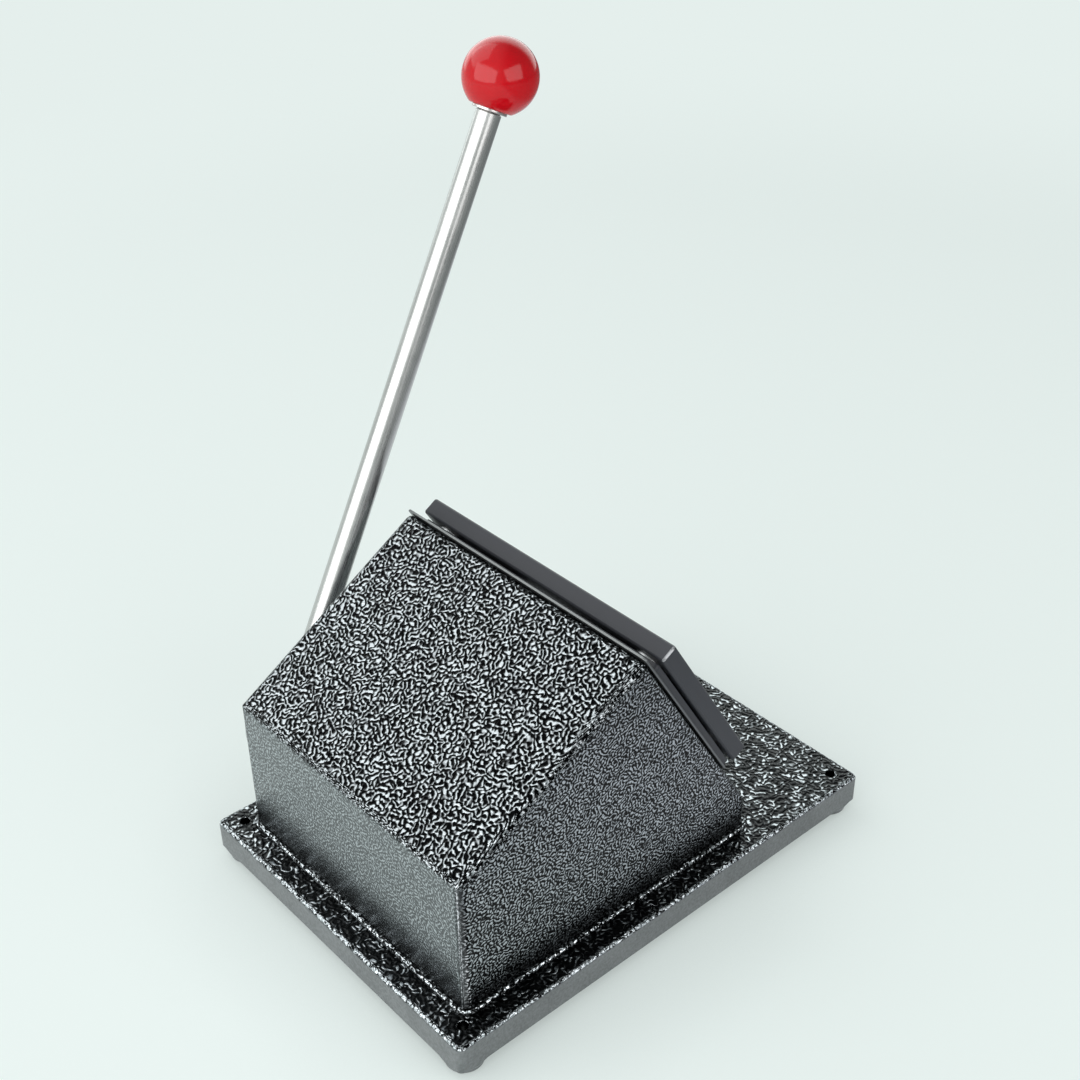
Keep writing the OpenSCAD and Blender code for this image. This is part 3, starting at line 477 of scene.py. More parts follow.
def local(place, matrix):
    """The object's coordinates in a local frame."""
    inverse = matrix.inverted()
    wires = {"Location": tuple(inverse.translation), "Rotation": tuple(inverse.to_euler("XYZ"))}
    return place.feed("ShaderNodeMapping", wires, "Vector", vector_type="POINT")[0]


def bump(shader, height, depth):
    """Feeds a height, in shares of a depth in metres, to a shader's normal."""
    made = height.feed("ShaderNodeBump", {"Strength": 1.0, "Distance": depth}, "Height")
    shader.fill({"Normal": made[0]})


def dress(shader, tone, shades, share, rough, uneven, relief, depth, between=MIDDLE, plain=None):
    """Sets a shader's colour between two shades by a share, its roughness by an unevenness, its
    relief to a depth in metres, and its plain values."""
    dark, light = (shade(tone, factor) for factor in shades)
    shader.fill({"Base Color": share.tint(dark, light),
                 "Roughness": uneven.stretch(*between, *rough), **(plain or {})})
    bump(shader, relief, depth)


def unrolled(place, facing):
    """Flat coordinates on a casting: across and along its profile, or level and upright on its
    sides."""
    x, y, z = place.parts()
    across, back, up = facing
    sideways = abs(across).maths("GREATER_THAN", SIDEWAYS)
    return joined(sideways.blend(x, y), sideways.blend(y * up - z * back, z), 0.0)


def paint_finish():
    """Hammered paint, silver ridges on black: coarse on top, finer on the walls, and plain on the
    base's sides."""
    material, shader, place = blank_finish("hammered_paint")
    s, c = sizes(), colours()
    facing = Node(place.tree, "ShaderNodeNewGeometry")["True Normal"].parts()
    across, back, up = facing
    above = place.parts()[2]
    upward, level = up.stretch(*UPWARD), up.stretch(*LEVEL)
    upright = 1.0 - upward
    backward = back.stretch(*BACKWARD) * upright
    pitch = upward.blend(s.wall_pitch, level.blend(s.roof_pitch, s.level_pitch))
    ridges = use(unrolled(place, facing), "hammered_ridges", Spacing=pitch)

    # No flake in the bench holes, a painted shade in the bores, and no ridges on the base's sides
    hole = (s.bench_across / 2, s.bench_along / 2, 0.0)
    to_hole = place.vector("ABSOLUTE").vector("SUBTRACT", hole).vector("MULTIPLY", (1.0, 1.0, 0.0))
    away = to_hole.vector("LENGTH", result="Value")
    open_air = away.stretch(s.bench_r + 0.0001, s.bench_r + 0.0007)
    smooth = upright * above.stretch(s.side_top - 0.0008, s.side_top + 0.0008, 1.0, 0.0)
    smooth = smooth * open_air
    ridged = 1.0 - smooth

    # Flake on the ridges' tops: strokes on level faces, and on the back wall a thin even flake, painted light
    # that makes it lighter than the side walls; less on the walls' corners and foot, painted shade there
    painted_light_veil = ridges["Tops"] * 0.80 + 0.27
    strokes = ridges["Strokes"] * 0.98 + 0.02
    flake = level.blend(backward.blend(ridges["Tops"], painted_light_veil), strokes)
    # Painted shade: less flake on the rounded upright corners darkens them
    corner = abs(across).least(back).stretch(*CORNER_SHADE) * upright
    flake = flake * (corner * -0.45 + 1.0)
    # Painted shade: less flake towards the walls' foot; the roof keeps nine tenths of its flake
    foot = above.stretch(s.lip_top, s.lip_top + s.foot_shade, 0.30, 1.0)
    flake = flake * upward.blend(foot, level.blend(0.90, 1.0))

    # Painted highlights: bright silver dots along the rounded edges of the lip and the base
    edge = up.stretch(*EDGE_START) * up.stretch(*EDGE_END, 1.0, 0.0)
    edge = edge * above.stretch(s.lip_top + 0.0003, s.lip_top + 0.0009, 1.0, 0.0)
    on_lip = above.stretch(s.base_top + 0.0003, s.base_top + 0.0008, 0.55, 1.0)
    to_highlight_dot = place.feed("ShaderNodeTexVoronoi", {"Scale": 620.0, "Randomness": 0.7}, "Vector")
    bead_highlights = edge * on_lip * to_highlight_dot["Distance"].stretch(0.36, 0.58, 1.0, 0.0)
    flake = flake.greatest(bead_highlights) * open_air

    # Black paint, silver flake, and the painted highlights in a lighter silver
    tone = bead_highlights.tint(flake.tint(c.paint, c.flake), shade(c.flake, 1.7))
    # The base's smooth sides: a light grey with random tone, a painted reflection of the floor
    grain = use(place, "fine_grain", Size=0.0012)
    cloud = (grain["Speckle"] * 0.6 + grain["Patches"] * 0.4).stretch(*MIDDLE)
    plain = cloud.tint(shade(c.sides, 0.78), shade(c.sides, 1.22))
    shader.fill({"Base Color": smooth.tint(tone, plain), "Metallic": ridged,
                 "Specular IOR Level": 0.05, "Roughness": flake.stretch(0.0, 1.0, 0.30, 0.20)})
    height = ridges["Height"] * upward.blend(backward.blend(0.20, 0.08), 1.0)
    bump(shader, height * (ridged * 0.95 + 0.05), s.paint_depth)
    return material


def plate_finish():
    """Blackened and ground die plate, satin."""
    material, shader, place = blank_finish("blackened_plate")
    lines = use(local(place, across_slope()), "drawn_lines", Across=2600.0, Along=22.0)["Lines"]
    grain = use(place, "fine_grain", Size=0.0005)
    share = lines * 0.5 + grain["Patches"] * 0.5
    dress(shader, colours().plate, (0.75, 1.3), share, (0.40, 0.50), share, lines, 0.00002,
          plain={"Specular IOR Level": 0.35})
    return material


def worn_glint_finish():
    """Bare steel on a corner of a blackened plate, lighter and partly diffuse, which paints a highlight there."""
    material, shader, place = blank_finish("worn_corner")
    grain = use(place, "fine_grain", Size=0.0016)
    share = (grain["Speckle"] + (grain["Patches"] - 0.5)).stretch(0.36, 0.54)
    dress(shader, colours().worn, (0.35, 1.0), share, (0.42, 0.30), share, grain["Speckle"],
          0.00003, between=(0.0, 1.0), plain={"Metallic": 0.35})
    return material


def metal_finish(name, tone, shades, effects, weight, rough, depth):
    """Bare metal with a fine pattern and, for the rest of the weight, a wide one."""
    material, shader, place = blank_finish(name)
    fine, wide = effects(place)
    share = fine * weight + wide * (1.0 - weight)
    dress(shader, tone, shades, share, rough, share, fine, depth, plain={"Metallic": 1.0})
    return material


def uneven_rough(rough):
    """The roughness of metal at its dark and at its light spots."""
    return rough * 0.8, rough * 1.25


def steel_finish(name, tone, frame_of, rough, across=2600.0, depth=0.00002):
    """Drawn or ground steel with fine lines along a local z."""
    def effects(place):
        lines = use(local(place, frame_of), "drawn_lines", Across=across, Along=18.0)
        return lines["Lines"], lines["Stains"]
    return metal_finish(name, tone, (0.80, 1.16), effects, 0.6, uneven_rough(rough), depth)


def turned_finish(name, tone, frame_of, rough):
    """Turned metal with fine rings round a local z."""
    def effects(place):
        rings = use(local(place, frame_of), "turned_rings", Pitch=0.0004)
        return rings["Rings"], rings["Stains"]
    return metal_finish(name, tone, (0.78, 1.18), effects, 0.55, uneven_rough(rough), 0.00002)


def screw_finish():
    """Black oxide on screws and nuts."""
    def effects(place):
        grain = use(place, "fine_grain", Size=0.0004)
        return grain["Speckle"], grain["Patches"]
    return metal_finish("black_oxide", colours().screw, (0.7, 1.5), effects, 0.5, (0.32, 0.50),
                        0.00002)


def moulded_finish(name, tone, shades, rough, grain_size, depth, plain=None):
    """Rubber or plastic with wide patches of colour and a fine speckle in its roughness."""
    material, shader, place = blank_finish(name)
    grain = use(place, "fine_grain", Size=grain_size)
    dress(shader, tone, shades, grain["Patches"], rough, grain["Speckle"], grain["Speckle"], depth,
          plain=plain)
    return material


FINISHES = {
    "paint": paint_finish,
    "plate": plate_finish,
    "worn": worn_glint_finish,
    "screw": screw_finish,
    "rubber": lambda: moulded_finish("foot_rubber", colours().rubber, (0.7, 1.6), (0.75, 0.92),
                                     0.0005, 0.00006),
    "knob": lambda: moulded_finish("red_knob", colours().knob, (0.9, 1.08), (0.10, 0.16),
                                   0.004, 0.00002, {"Specular IOR Level": 0.38}),
    "sheet": lambda: steel_finish("rolled_sheet", colours().sheet, across_slope(), 0.42),
    "slide_steel": lambda: turned_finish("turned_steel", colours().steel, on_axis(0), 0.26),
    "tool_steel": lambda: turned_finish("tool_steel", colours().tool, on_axis(0), 0.32),
    "bronze": lambda: turned_finish("turned_bronze", colours().bronze, on_axis(0), 0.34),
    "shaft_steel": lambda: turned_finish("shaft_steel", colours().steel, along_shaft(0), 0.26),
    "shaft_bronze": lambda: turned_finish("shaft_bronze", colours().bronze, along_shaft(0), 0.34),
    "cam_steel": lambda: steel_finish("cam_steel", colours().tool, along_shaft(0), 0.32),
    "rod": lambda: steel_finish("polished_rod", colours().chrome, on_lever(), 0.27, across=5200.0,
                                depth=0.000006),
    "nickel": lambda: turned_finish("nickel_plate", colours().nickel, on_lever(), 0.26),
}


@cache
def finish(name):
    """A finish, built the first time it is asked for."""
    return FINISHES[name]()


# Meshes


def linked(name, data):
    """A new object in the scene."""
    obj = bpy.data.objects.new(name, data)
    bpy.context.scene.collection.objects.link(obj)
    return obj


def span(node, place):
    """The lowest and the highest point of a node along the z of a frame."""
    to_place = place.inverted()
    heights = [(to_place @ v.co).z for v in frame["nodes"][node].data.vertices]
    return min(heights), max(heights)


def settle(mesh, sharp):
    """Smooth shading up to an angle in degrees, with even normals on the flat faces."""
    mesh.shade_smooth()
    mesh.set_sharp_from_angle(angle=radians(sharp))
    holder = linked("holder", mesh)
    even = holder.modifiers.new("even_normals", "WEIGHTED_NORMAL")
    even.keep_sharp = True
    return flattened(baked(holder))


def flattened(mesh, wider=4):
    """Gives faces that are wider than those beside them, and the rounded edges there, the wide
    faces' own normals."""
    sharp = {edge.key for edge in mesh.edges if edge.use_edge_sharp}
    users = {}
    for face in mesh.polygons:
        for key in face.edge_keys:
            users.setdefault(key, []).append(face.index)
    area = [face.area for face in mesh.polygons]
    beside = [[] for face in mesh.polygons]
    for key, pair in users.items():
        if len(pair) == 2 and key not in sharp:
            beside[pair[0]].append(pair[1])
            beside[pair[1]].append(pair[0])
    wide = {i: set(mesh.polygons[i].vertices) for i, near in enumerate(beside)
            if area[i] > wider * max((area[j] for j in near), default=0.0)}
    normals = [corner.vector.copy() for corner in mesh.corner_normals]
    for face in mesh.polygons:
        for j in (face.index,) if face.index in wide else beside[face.index]:
            if j in wide:
                for loop in face.loop_indices:
                    if mesh.loops[loop].vertex_index in wide[j]:
                        normals[loop] = mesh.polygons[j].normal.copy()
    mesh.normals_split_custom_set(normals)
    return mesh


def baked(holder):
    """The finished mesh of a helper object, which is then removed."""
    graph = bpy.context.evaluated_depsgraph_get()
    mesh = bpy.data.meshes.new_from_object(holder.evaluated_get(graph), depsgraph=graph)
    holder.modifiers.clear()
    bpy.data.objects.remove(holder)
    return mesh


def piece(name, mesh, finishes, node):
    """Shows a mesh in place of its node, on its body and with its material slot."""
    if not mesh.polygons:
        raise RuntimeError(f"{name} has no faces")
    obj = linked(name, mesh)
    mesh.name = name
    if mesh.materials:
        mesh.materials.clear()
    for label in finishes.split():
        mesh.materials.append(finish(label))
    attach(obj, BODY_OF[node])
    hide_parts(node)
    return obj


def settled(bm, name, sharp, place=ORIGIN):
    """The mesh of a bmesh, put in its place and settled."""
    mesh = bpy.data.meshes.new(name)
    bm.to_mesh(mesh)
    bm.free()
    mesh.transform(place)
    return settle(mesh, sharp)


def rounded(node, *cuts, worn_glint_corners=False):
    """A node's own shape with joined triangles, whole flat faces and rounded sharp edges.

    Each cut is a width, and where only some edges take it, a test of an edge. Worn corners are
    upright faces across a plate's corners, and take the second finish, bare steel with a painted highlight.
    """
    to_axis = on_axis(0).inverted()
    bm = bmesh.new()
    bm.from_mesh(frame["nodes"][node].data)
    bmesh.ops.remove_doubles(bm, verts=bm.verts, dist=2e-6)
    bmesh.ops.dissolve_degenerate(bm, dist=TOLERANCE, edges=bm.edges)
    bmesh.ops.dissolve_limit(bm, angle_limit=radians(0.3), use_dissolve_boundaries=False,
                             verts=bm.verts, edges=bm.edges)
    for face in bm.faces if worn_glint_corners else ():
        across = to_axis.to_3x3() @ face.normal
        outside = (to_axis @ face.calc_center_median()).to_2d().length > sizes().worn_glint_reach
        face.material_index = 1 if outside and min(abs(across.x), abs(across.y)) > 0.5 else 0
    for width, *test in cuts:
        sharp = [edge for edge in bm.edges
                 if len(edge.link_faces) == 2 and edge.calc_face_angle() > radians(28)
                 and all(check(edge) for check in test)]
        bmesh.ops.bevel(bm, geom=sharp, offset=width, offset_type="OFFSET", segments=3,
                        profile=0.5, affect="EDGES", clamp_overlap=False, material=-1)
    return settled(bm, node, 35.0)


def eased(name, node, label, width):
    """Shows a node's own shape with all its sharp edges rounded."""
    return piece(name, rounded(node, (width,)), label, node)


def rows_of(bm, loops, ring=False):
    """Adds loops of points and the faces between them, for a ring also from last to first."""
    rows = [[bm.verts.new(point) for point in loop] for loop in loops]
    count = len(rows[0])
    for low, high in zip(rows, rows[1:] + rows[:1] if ring else rows[1:]):
        for i in range(count):
            j = (i + 1) % count
            bm.faces.new((low[i], low[j], high[j], high[i]))
    return rows


def skin(loops, name, place=ORIGIN):
    """A closed mesh through loops of points, with a fan over the first and the last loop."""
    bm = bmesh.new()
    rows = rows_of(bm, loops)
    count = len(rows[0])
    for row, flip in ((rows[0], True), (rows[-1], False)):
        hub = bm.verts.new(sum((v.co for v in row), Vector()) / count)
        for i in range(count):
            a, b = row[i], row[(i + 1) % count]
            bm.faces.new((b, a, hub) if flip else (a, b, hub))
    bmesh.ops.remove_doubles(bm, verts=bm.verts, dist=1e-7)
    bmesh.ops.recalc_face_normals(bm, faces=bm.faces)
    return settled(bm, name, 40.0, place)


def round_point(radius, angle, height):
    return Vector((cos(angle) * radius, sin(angle) * radius, height))


def ring_points(radius, height, count, knurl=0.0):
    """A round loop, with every second point set in by a knurl's depth."""
    return [round_point(radius - knurl * (i % 2), 2 * pi * i / count, height)
            for i in range(count)]


def six_points(across, height, count):
    """A loop along a hexagon, with the distance across its flats."""
    turns = [2 * pi * i / count for i in range(count)]
    return [round_point(across / 2 / cos((a + pi / 6) % (pi / 3) - pi / 6), a, height)
            for a in turns]


def thread_loops(radius, top, bottom, pitch, depth, count, rows_per_turn=6):
    """Loops down a threaded shank from top to bottom, with a chamfered tip."""
    rows = max(2, round((top - bottom) / pitch * rows_per_turn))
    loops = []
    for k in range(rows + 1):
        z = top + (bottom - top) * k / rows
        run_out = max(0.0, min(1.0, (top - z) / pitch, (z - bottom) / pitch))
        tip = depth * max(0.0, 1 - (z - bottom) / pitch)
        loop = []
        for i in range(count):
            a = 2 * pi * i / count
            tooth = abs(2 * ((z / pitch + a / (2 * pi)) % 1.0) - 1)
            groove = depth * max(0.0, min(1.0, 1.4 * tooth - 0.2)) * run_out
            loop.append(round_point(radius - groove - tip, a, z))
        loops.append(loop)
    return loops


def screw_mesh(reach, shank_r, head_r, head_h, flat=False, place=ORIGIN):
    """Socket screw along -z: z = 0 is the top of a flat head, or the seat of a cap head."""
    pitch = sizes().thread_pitch * (COARSE if shank_r > COARSE_FROM else 1.0)
    top = 0.0 if flat else head_h
    across = head_r * 1.02
    floor = top - head_h * (0.62 if flat else 0.55)
    socket = ((across * 0.6, floor - across * 0.1), (across, floor), (across, top - 0.00025),
              (across + 0.0005, top))
    if flat:
        outside = ((head_r - 0.0002, top), (head_r, top - 0.0002), (shank_r, -head_h))
        thread_top = -head_h - 0.001
    else:
        knurl = 0.00016
        outside = ((head_r - 0.0007, top), (head_r - 0.0001, top - 0.0006),
                   (head_r, top - 0.0009, knurl), (head_r, 0.0008, knurl),
                   (head_r - 0.0002, 0.0003), (head_r - 0.0004, 0.0), (shank_r, 0.0))
        thread_top = -reach * 0.25
    outside += ((shank_r, thread_top),)
    count = SCREW_POINTS
    loops = [six_points(width, z, count) for width, z in socket]
    loops += [ring_points(r, z, count, *depth) for r, z, *depth in outside]
    loops += thread_loops(shank_r, thread_top, -reach, pitch, pitch * 0.5, count)
    return skin(loops, "screw", place)


def nut_mesh(height, place=ORIGIN):
    """Hexagon nut with chamfered corners and a chamfered bore."""
    s = sizes()
    flats = s.nut_corners * cos(pi / 6)
    crown = flats / 2 * 0.97
    slope, chamfer = 0.55, 0.0005

    def face(level, sign):
        rim = [Vector((p.x, p.y, level - sign * (p.length - crown) * slope))
               for p in six_points(flats, 0.0, NUT_POINTS)]
        rings = ((s.nut_bore, level - sign * chamfer), (s.nut_bore + chamfer, level),
                 (crown, level))
        return [ring_points(r, z, NUT_POINTS) for r, z in rings] + [rim]

    bm = bmesh.new()
    rows_of(bm, face(height, 1) + face(0.0, -1)[::-1], ring=True)
    bmesh.ops.recalc_face_normals(bm, faces=bm.faces)
    return settled(bm, "nut", 30.0, place @ Matrix.Rotation(pi / 6, 4, "Z"))


def fillet(points, steps=5):
    """A profile of (radius, height, rounding) with its corners rounded."""
    result = []
    for i, (r, z, size) in enumerate(points):
        here = Vector((r, z))
        if size <= 0 or i in (0, len(points) - 1):
            result.append(here)
            continue
        before = Vector(points[i - 1][:2]) - here
        after = Vector(points[i + 1][:2]) - here
        cut = min(size, before.length * 0.49, after.length * 0.49)
        start, end = here + before.normalized() * cut, here + after.normalized() * cut
        for k in range(steps + 1):
            t = k / steps
            result.append(start * (1 - t) ** 2 + here * 2 * t * (1 - t) + end * t ** 2)
    return result


# Geometry node trees


def tree_with(name, **inputs):
    """A new geometry tree with named inputs, a finish and one geometry output."""
    tree = bpy.data.node_groups.new(name, "GeometryNodeTree")
    new_socket = tree.interface.new_socket
    for label, kind in {**inputs, "Finish": "NodeSocketMaterial"}.items():
        new_socket(name=label.replace("_", " "), in_out="INPUT", socket_type=kind)
    new_socket(name="Geometry", in_out="OUTPUT", socket_type="NodeSocketGeometry")
    return tree, Node(tree, "NodeGroupInput")


def repeat(tree, given, shape, **grid):
    """Ends a tree with real copies of a shape on the points of a grid, in the tree's finish."""
    wires = {label.replace("_", " "): value for label, value in grid.items()}
    points = Node(tree, "GeometryNodeMeshGrid", wires)["Mesh"]
    copies = points.feed("GeometryNodeInstanceOnPoints", {"Instance": shape}, "Points")[0]
    real = copies.feed("GeometryNodeRealizeInstances")[0]
    painted = real.feed("GeometryNodeSetMaterial", {"Material": given["Finish"]}, "Geometry")
    Node(tree, "NodeGroupOutput", {0: painted[0]})
    return tree


def copies_tree():
    """Copies of one piece on the points of a rectangle."""
    tree, given = tree_with(
        "copies_on_rectangle", Piece="NodeSocketObject", Pitch_across=FLOAT, Pitch_along=FLOAT,
        Count_across="NodeSocketInt", Count_along="NodeSocketInt")
    shape = Node(tree, "GeometryNodeObjectInfo", {"Object": given["Piece"]})["Geometry"]
    return repeat(tree, given, shape, Size_X=given["Pitch across"], Size_Y=given["Pitch along"],
                  Vertices_X=given["Count across"], Vertices_Y=given["Count along"])


def coil_tree():
    """Two springs with closed end turns, a pitch apart."""
    tree, given = tree_with(
        "closed_end_coils", Coil_radius=FLOAT, Wire_radius=FLOAT, Turns=FLOAT, Length=FLOAT,
        End_rise=FLOAT, Pitch_across=FLOAT, Points="NodeSocketInt")
    line = Node(tree, "GeometryNodeCurvePrimitiveLine", {"Start": (0, 0, 0), "End": (0, 0, 1)})[0]
    dense = line.feed("GeometryNodeResampleCurve", {"Count": given["Points"]}, "Curve")[0]
    turn = Node(tree, "GeometryNodeSplineParameter")["Factor"] * given["Turns"]
    inner = given["Turns"] - 2.0
    rise = (given["Length"] - given["End rise"] * 2.0) / inner
    closed = turn.least(1.0) + (turn - (inner + 1.0)).greatest(0.0)
    middle = (turn - 1.0).greatest(0.0).least(inner)
    angle, radius = turn * (2 * pi), given["Coil radius"]
    place = joined(angle.maths("COSINE") * radius, angle.maths("SINE") * radius,
                   closed * given["End rise"] + middle * rise)
    wound = dense.feed("GeometryNodeSetPosition", {"Position": place}, "Geometry")[0]
    section = Node(tree, "GeometryNodeCurvePrimitiveCircle",
                   {"Resolution": 12, "Radius": given["Wire radius"]})[0]
    wire = wound.feed("GeometryNodeCurveToMesh", {"Profile Curve": section, "Fill Caps": True},
                      "Curve")[0]
    return repeat(tree, given, wire, Size_X=given["Pitch across"], Size_Y=0.0, Vertices_X=2,
                  Vertices_Y=1)


def grown(tree, **values):
    """The plain mesh that a geometry tree makes from its named inputs."""
    holder = linked("holder", bpy.data.meshes.new("holder"))
    nodes = holder.modifiers.new("tree", "NODES")
    nodes.node_group = tree
    names = {item.name: item.identifier for item in tree.interface.items_tree
             if item.item_type == "SOCKET" and item.in_out == "INPUT"}
    for key, value in values.items():
        nodes[names[key.replace("_", " ")]] = value
    return baked(holder)


def repeated(name, mesh, label, node, pitch, count, place):
    """Shows one mesh on a rectangle of points, put in its place, for a node of like pieces."""
    tree = bpy.data.node_groups.get("copies_on_rectangle") or copies_tree()
    model = linked("model", mesh)
    result = grown(tree, Piece=model, Pitch_across=pitch[0], Pitch_along=pitch[1],
                   Count_across=count[0], Count_along=count[1], Finish=finish(label))
    bpy.data.objects.remove(model)
    result.transform(place)
    return piece(name, settle(result, 40.0), label, node)


# Operators


class CUTTER_OT_castings(Operator):
    """Painted base and housing"""

    bl_idname = "cutter.castings"
    bl_label = "Castings"

    def execute(self, context):
        s = sizes()
        to_slope = on_slope(0, 0, 0).inverted()
        to_axis = on_axis(0).inverted()

        def on_front(edge):
            return all(abs((to_slope @ v.co).z) < TOLERANCE
                       and (to_axis @ v.co).to_2d().length > GUIDE_REACH for v in edge.verts)

        def at_height(height, edge):
            return all(abs(v.co.z - height) < TOLERANCE for v in edge.verts)

        def on_lip(edge):
            return at_height(s.lip_top, edge) and edge.is_convex

        def on_boss(edge):
            return all(v.co.x > BOSS_X for v in edge.verts)

        def on_top(edge):
            return at_height(s.base_top, edge)

        base = rounded("base_plate", (s.cast_round, on_top))
        piece("painted_base", base, "paint", "base_plate")
        housing = rounded("housing", (s.front_round, on_front), (s.lip_round, on_lip),
                          (s.cast_round, on_boss))
        piece("painted_housing", housing, "paint", "housing")
        return {"FINISHED"}


class CUTTER_OT_feet(Operator):
    """Rubber pads under the base"""

    bl_idname = "cutter.feet"
    bl_label = "Feet"

    def execute(self, context):
        eased("foot_pads", "rubber_feet", "rubber", sizes().turned_round)
        return {"FINISHED"}


class CUTTER_OT_die_set(Operator):
    """Plates of the die set, their spacers, pins and the punch guide"""

    bl_idname = "cutter.die_set"
    bl_label = "Die set"

    def execute(self, context):
        s = sizes()
        eased("bright_guide_sheet", "guide_sheet", "sheet", s.plate_round)
        eased("dark_stripper", "stripper_plate", "plate", s.plate_round)
        # The die's corner chamfers take bare steel with a painted highlight
        die = rounded("die_plate", (s.plate_round,), worn_glint_corners=True)
        piece("dark_die", die, "plate worn", "die_plate")
        eased("spacer_rings", "slot_spacers", "slide_steel", s.thin_round)
        eased("ground_dowels", "dowel_pins", "slide_steel", s.fine_round)
        eased("guide_ring", "punch_guide", "bronze", s.turned_round)
        return {"FINISHED"}


class CUTTER_OT_screws(Operator):
    """Socket screws of the die, the housing, the ram, the pad and the shaft"""

    bl_idname = "cutter.screws"
    bl_label = "Screws"

    def execute(self, context):
        s = sizes()
        repeated("die_flat_screws", screw_mesh(DIE_SCREW_REACH, **FLAT_M6), "screw", "die_screws",
                 (s.die_pitch_x, s.die_pitch_y), (2, 2), on_axis(s.die_face))

        low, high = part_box("housing_screws")[:2]
        wide, head_h = 2 * CAP_M6["head_r"], CAP_M6["head_h"]
        middle = (low + high) / 2
        seat = Matrix.Translation((middle.x, middle.y, low.z + head_h))
        repeated("base_cap_screws", screw_mesh(high.z - low.z - head_h, **CAP_M6), "screw",
                 "housing_screws", (high.x - low.x - wide, high.y - low.y - wide), (2, 2),
                 seat @ HALF_TURN)

        back, front = span("ram_bolt", on_axis(0))
        head_h = CAP_M12["head_h"]
        bolt = screw_mesh(front - back - head_h, **CAP_M12,
                          place=on_axis(back + head_h) @ HALF_TURN)
        piece("ram_cap_bolt", bolt, "screw", "ram_bolt")

        back, front = span("pad_screws", on_axis(0))
        repeated("pad_flat_screws", screw_mesh(front - back, **FLAT_M4), "screw", "pad_screws",
                 (0.0, s.pad_pitch), (1, 2), on_axis(back) @ HALF_TURN)

        start, end = span("end_screw", along_shaft(0))
        head_h = LOW_CAP_M6["head_h"]
        last = screw_mesh(end - start - head_h, **LOW_CAP_M6, place=along_shaft(end - head_h))
        piece("shaft_end_screw", last, "screw", "end_screw")
        return {"FINISHED"}


class CUTTER_OT_ram(Operator):
    """Punch, column, crosshead, its bushes and the follower pad"""

    bl_idname = "cutter.ram"
    bl_label = "Ram"

    def execute(self, context):
        s = sizes()
        eased("ground_punch", "punch", "tool_steel", s.fine_round)
        eased("turned_column", "ram_column", "tool_steel", s.turned_round)
        eased("dark_crosshead", "crosshead", "plate", s.turned_round)
        eased("post_bushes", "crosshead_bushes", "bronze", s.fine_round)
        eased("hard_pad", "follower_pad", "tool_steel", s.turned_round)
        return {"FINISHED"}


class CUTTER_OT_posts(Operator):
    """Guide posts with their washers and nuts"""

    bl_idname = "cutter.posts"
    bl_label = "Guide posts"

    def execute(self, context):
        s = sizes()
        eased("bright_posts", "guide_posts", "slide_steel", s.turned_round)
        eased("stop_washers", "post_washers", "slide_steel", s.fine_round)
        back, front = span("post_nuts", on_axis(0))
        low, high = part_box("post_nuts")[:2]
        repeated("stop_nuts", nut_mesh(front - back), "screw", "post_nuts",
                 (high.x - low.x - s.nut_corners, 0.0), (2, 1), on_axis(back))
        return {"FINISHED"}


class CUTTER_OT_springs(Operator):
    """Return springs on the posts"""

    bl_idname = "cutter.springs"
    bl_label = "Return springs"

    def execute(self, context):
        s = sizes()
        low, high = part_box("return_springs")[:2]
        gap, points_per_turn = 0.00015, 40
        run = SPRING_FRONT - SPRING_BACK
        coil = grown(coil_tree(), Coil_radius=s.spring_r, Wire_radius=s.wire_r,
                     Turns=float(s.spring_turns), Length=run - 2 * (s.wire_r + gap),
                     End_rise=s.end_rise, Pitch_across=high.x - low.x - 2 * (s.spring_r + s.wire_r),
                     Points=s.spring_turns * points_per_turn + 1, Finish=finish("slide_steel"))
        coil.transform(on_axis(SPRING_BACK + s.wire_r + gap))
        springs = piece("coiled_springs", settle(coil, 50.0), "slide_steel", "return_springs")
        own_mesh(springs)
        return {"FINISHED"}


class CUTTER_OT_cam_drive(Operator):
    """Cam shaft with cam, pin, bearings and ring"""

    bl_idname = "cutter.cam_drive"
    bl_label = "Cam drive"

    def execute(self, context):
        s = sizes()
        eased("bright_shaft", "cam_shaft", "shaft_steel", s.fine_round)
        eased("hard_cam", "cam", "cam_steel", s.turned_round)
        eased("cam_dowel", "cam_pin", "shaft_steel", s.fine_round)
        eased("snap_ring", "retaining_ring", "cam_steel", s.fine_round)
        eased("left_bush", "shaft_bush_left", "shaft_bronze", s.turned_round)
        eased("right_bush", "shaft_bush_right", "shaft_bronze", s.turned_round)
        eased("hub_thrust_ring", "thrust_washer", "shaft_bronze", s.fine_round)
        return {"FINISHED"}


class CUTTER_OT_lever(Operator):
    """Lever hub, rod, lock nut and end washer"""

    bl_idname = "cutter.lever"
    bl_label = "Lever"

    def execute(self, context):
        s = sizes()
        eased("turned_hub", "lever_hub", "shaft_steel", s.turned_round)
        eased("hub_end_washer", "end_washer", "shaft_steel", s.turned_round)
        seat, end = span("lock_nut", on_lever())
        piece("rod_lock_nut", nut_mesh(end - seat, on_lever(seat)), "screw", "lock_nut")
        eased("bright_rod", "lever_rod", "rod", s.fine_round)
        return {"FINISHED"}


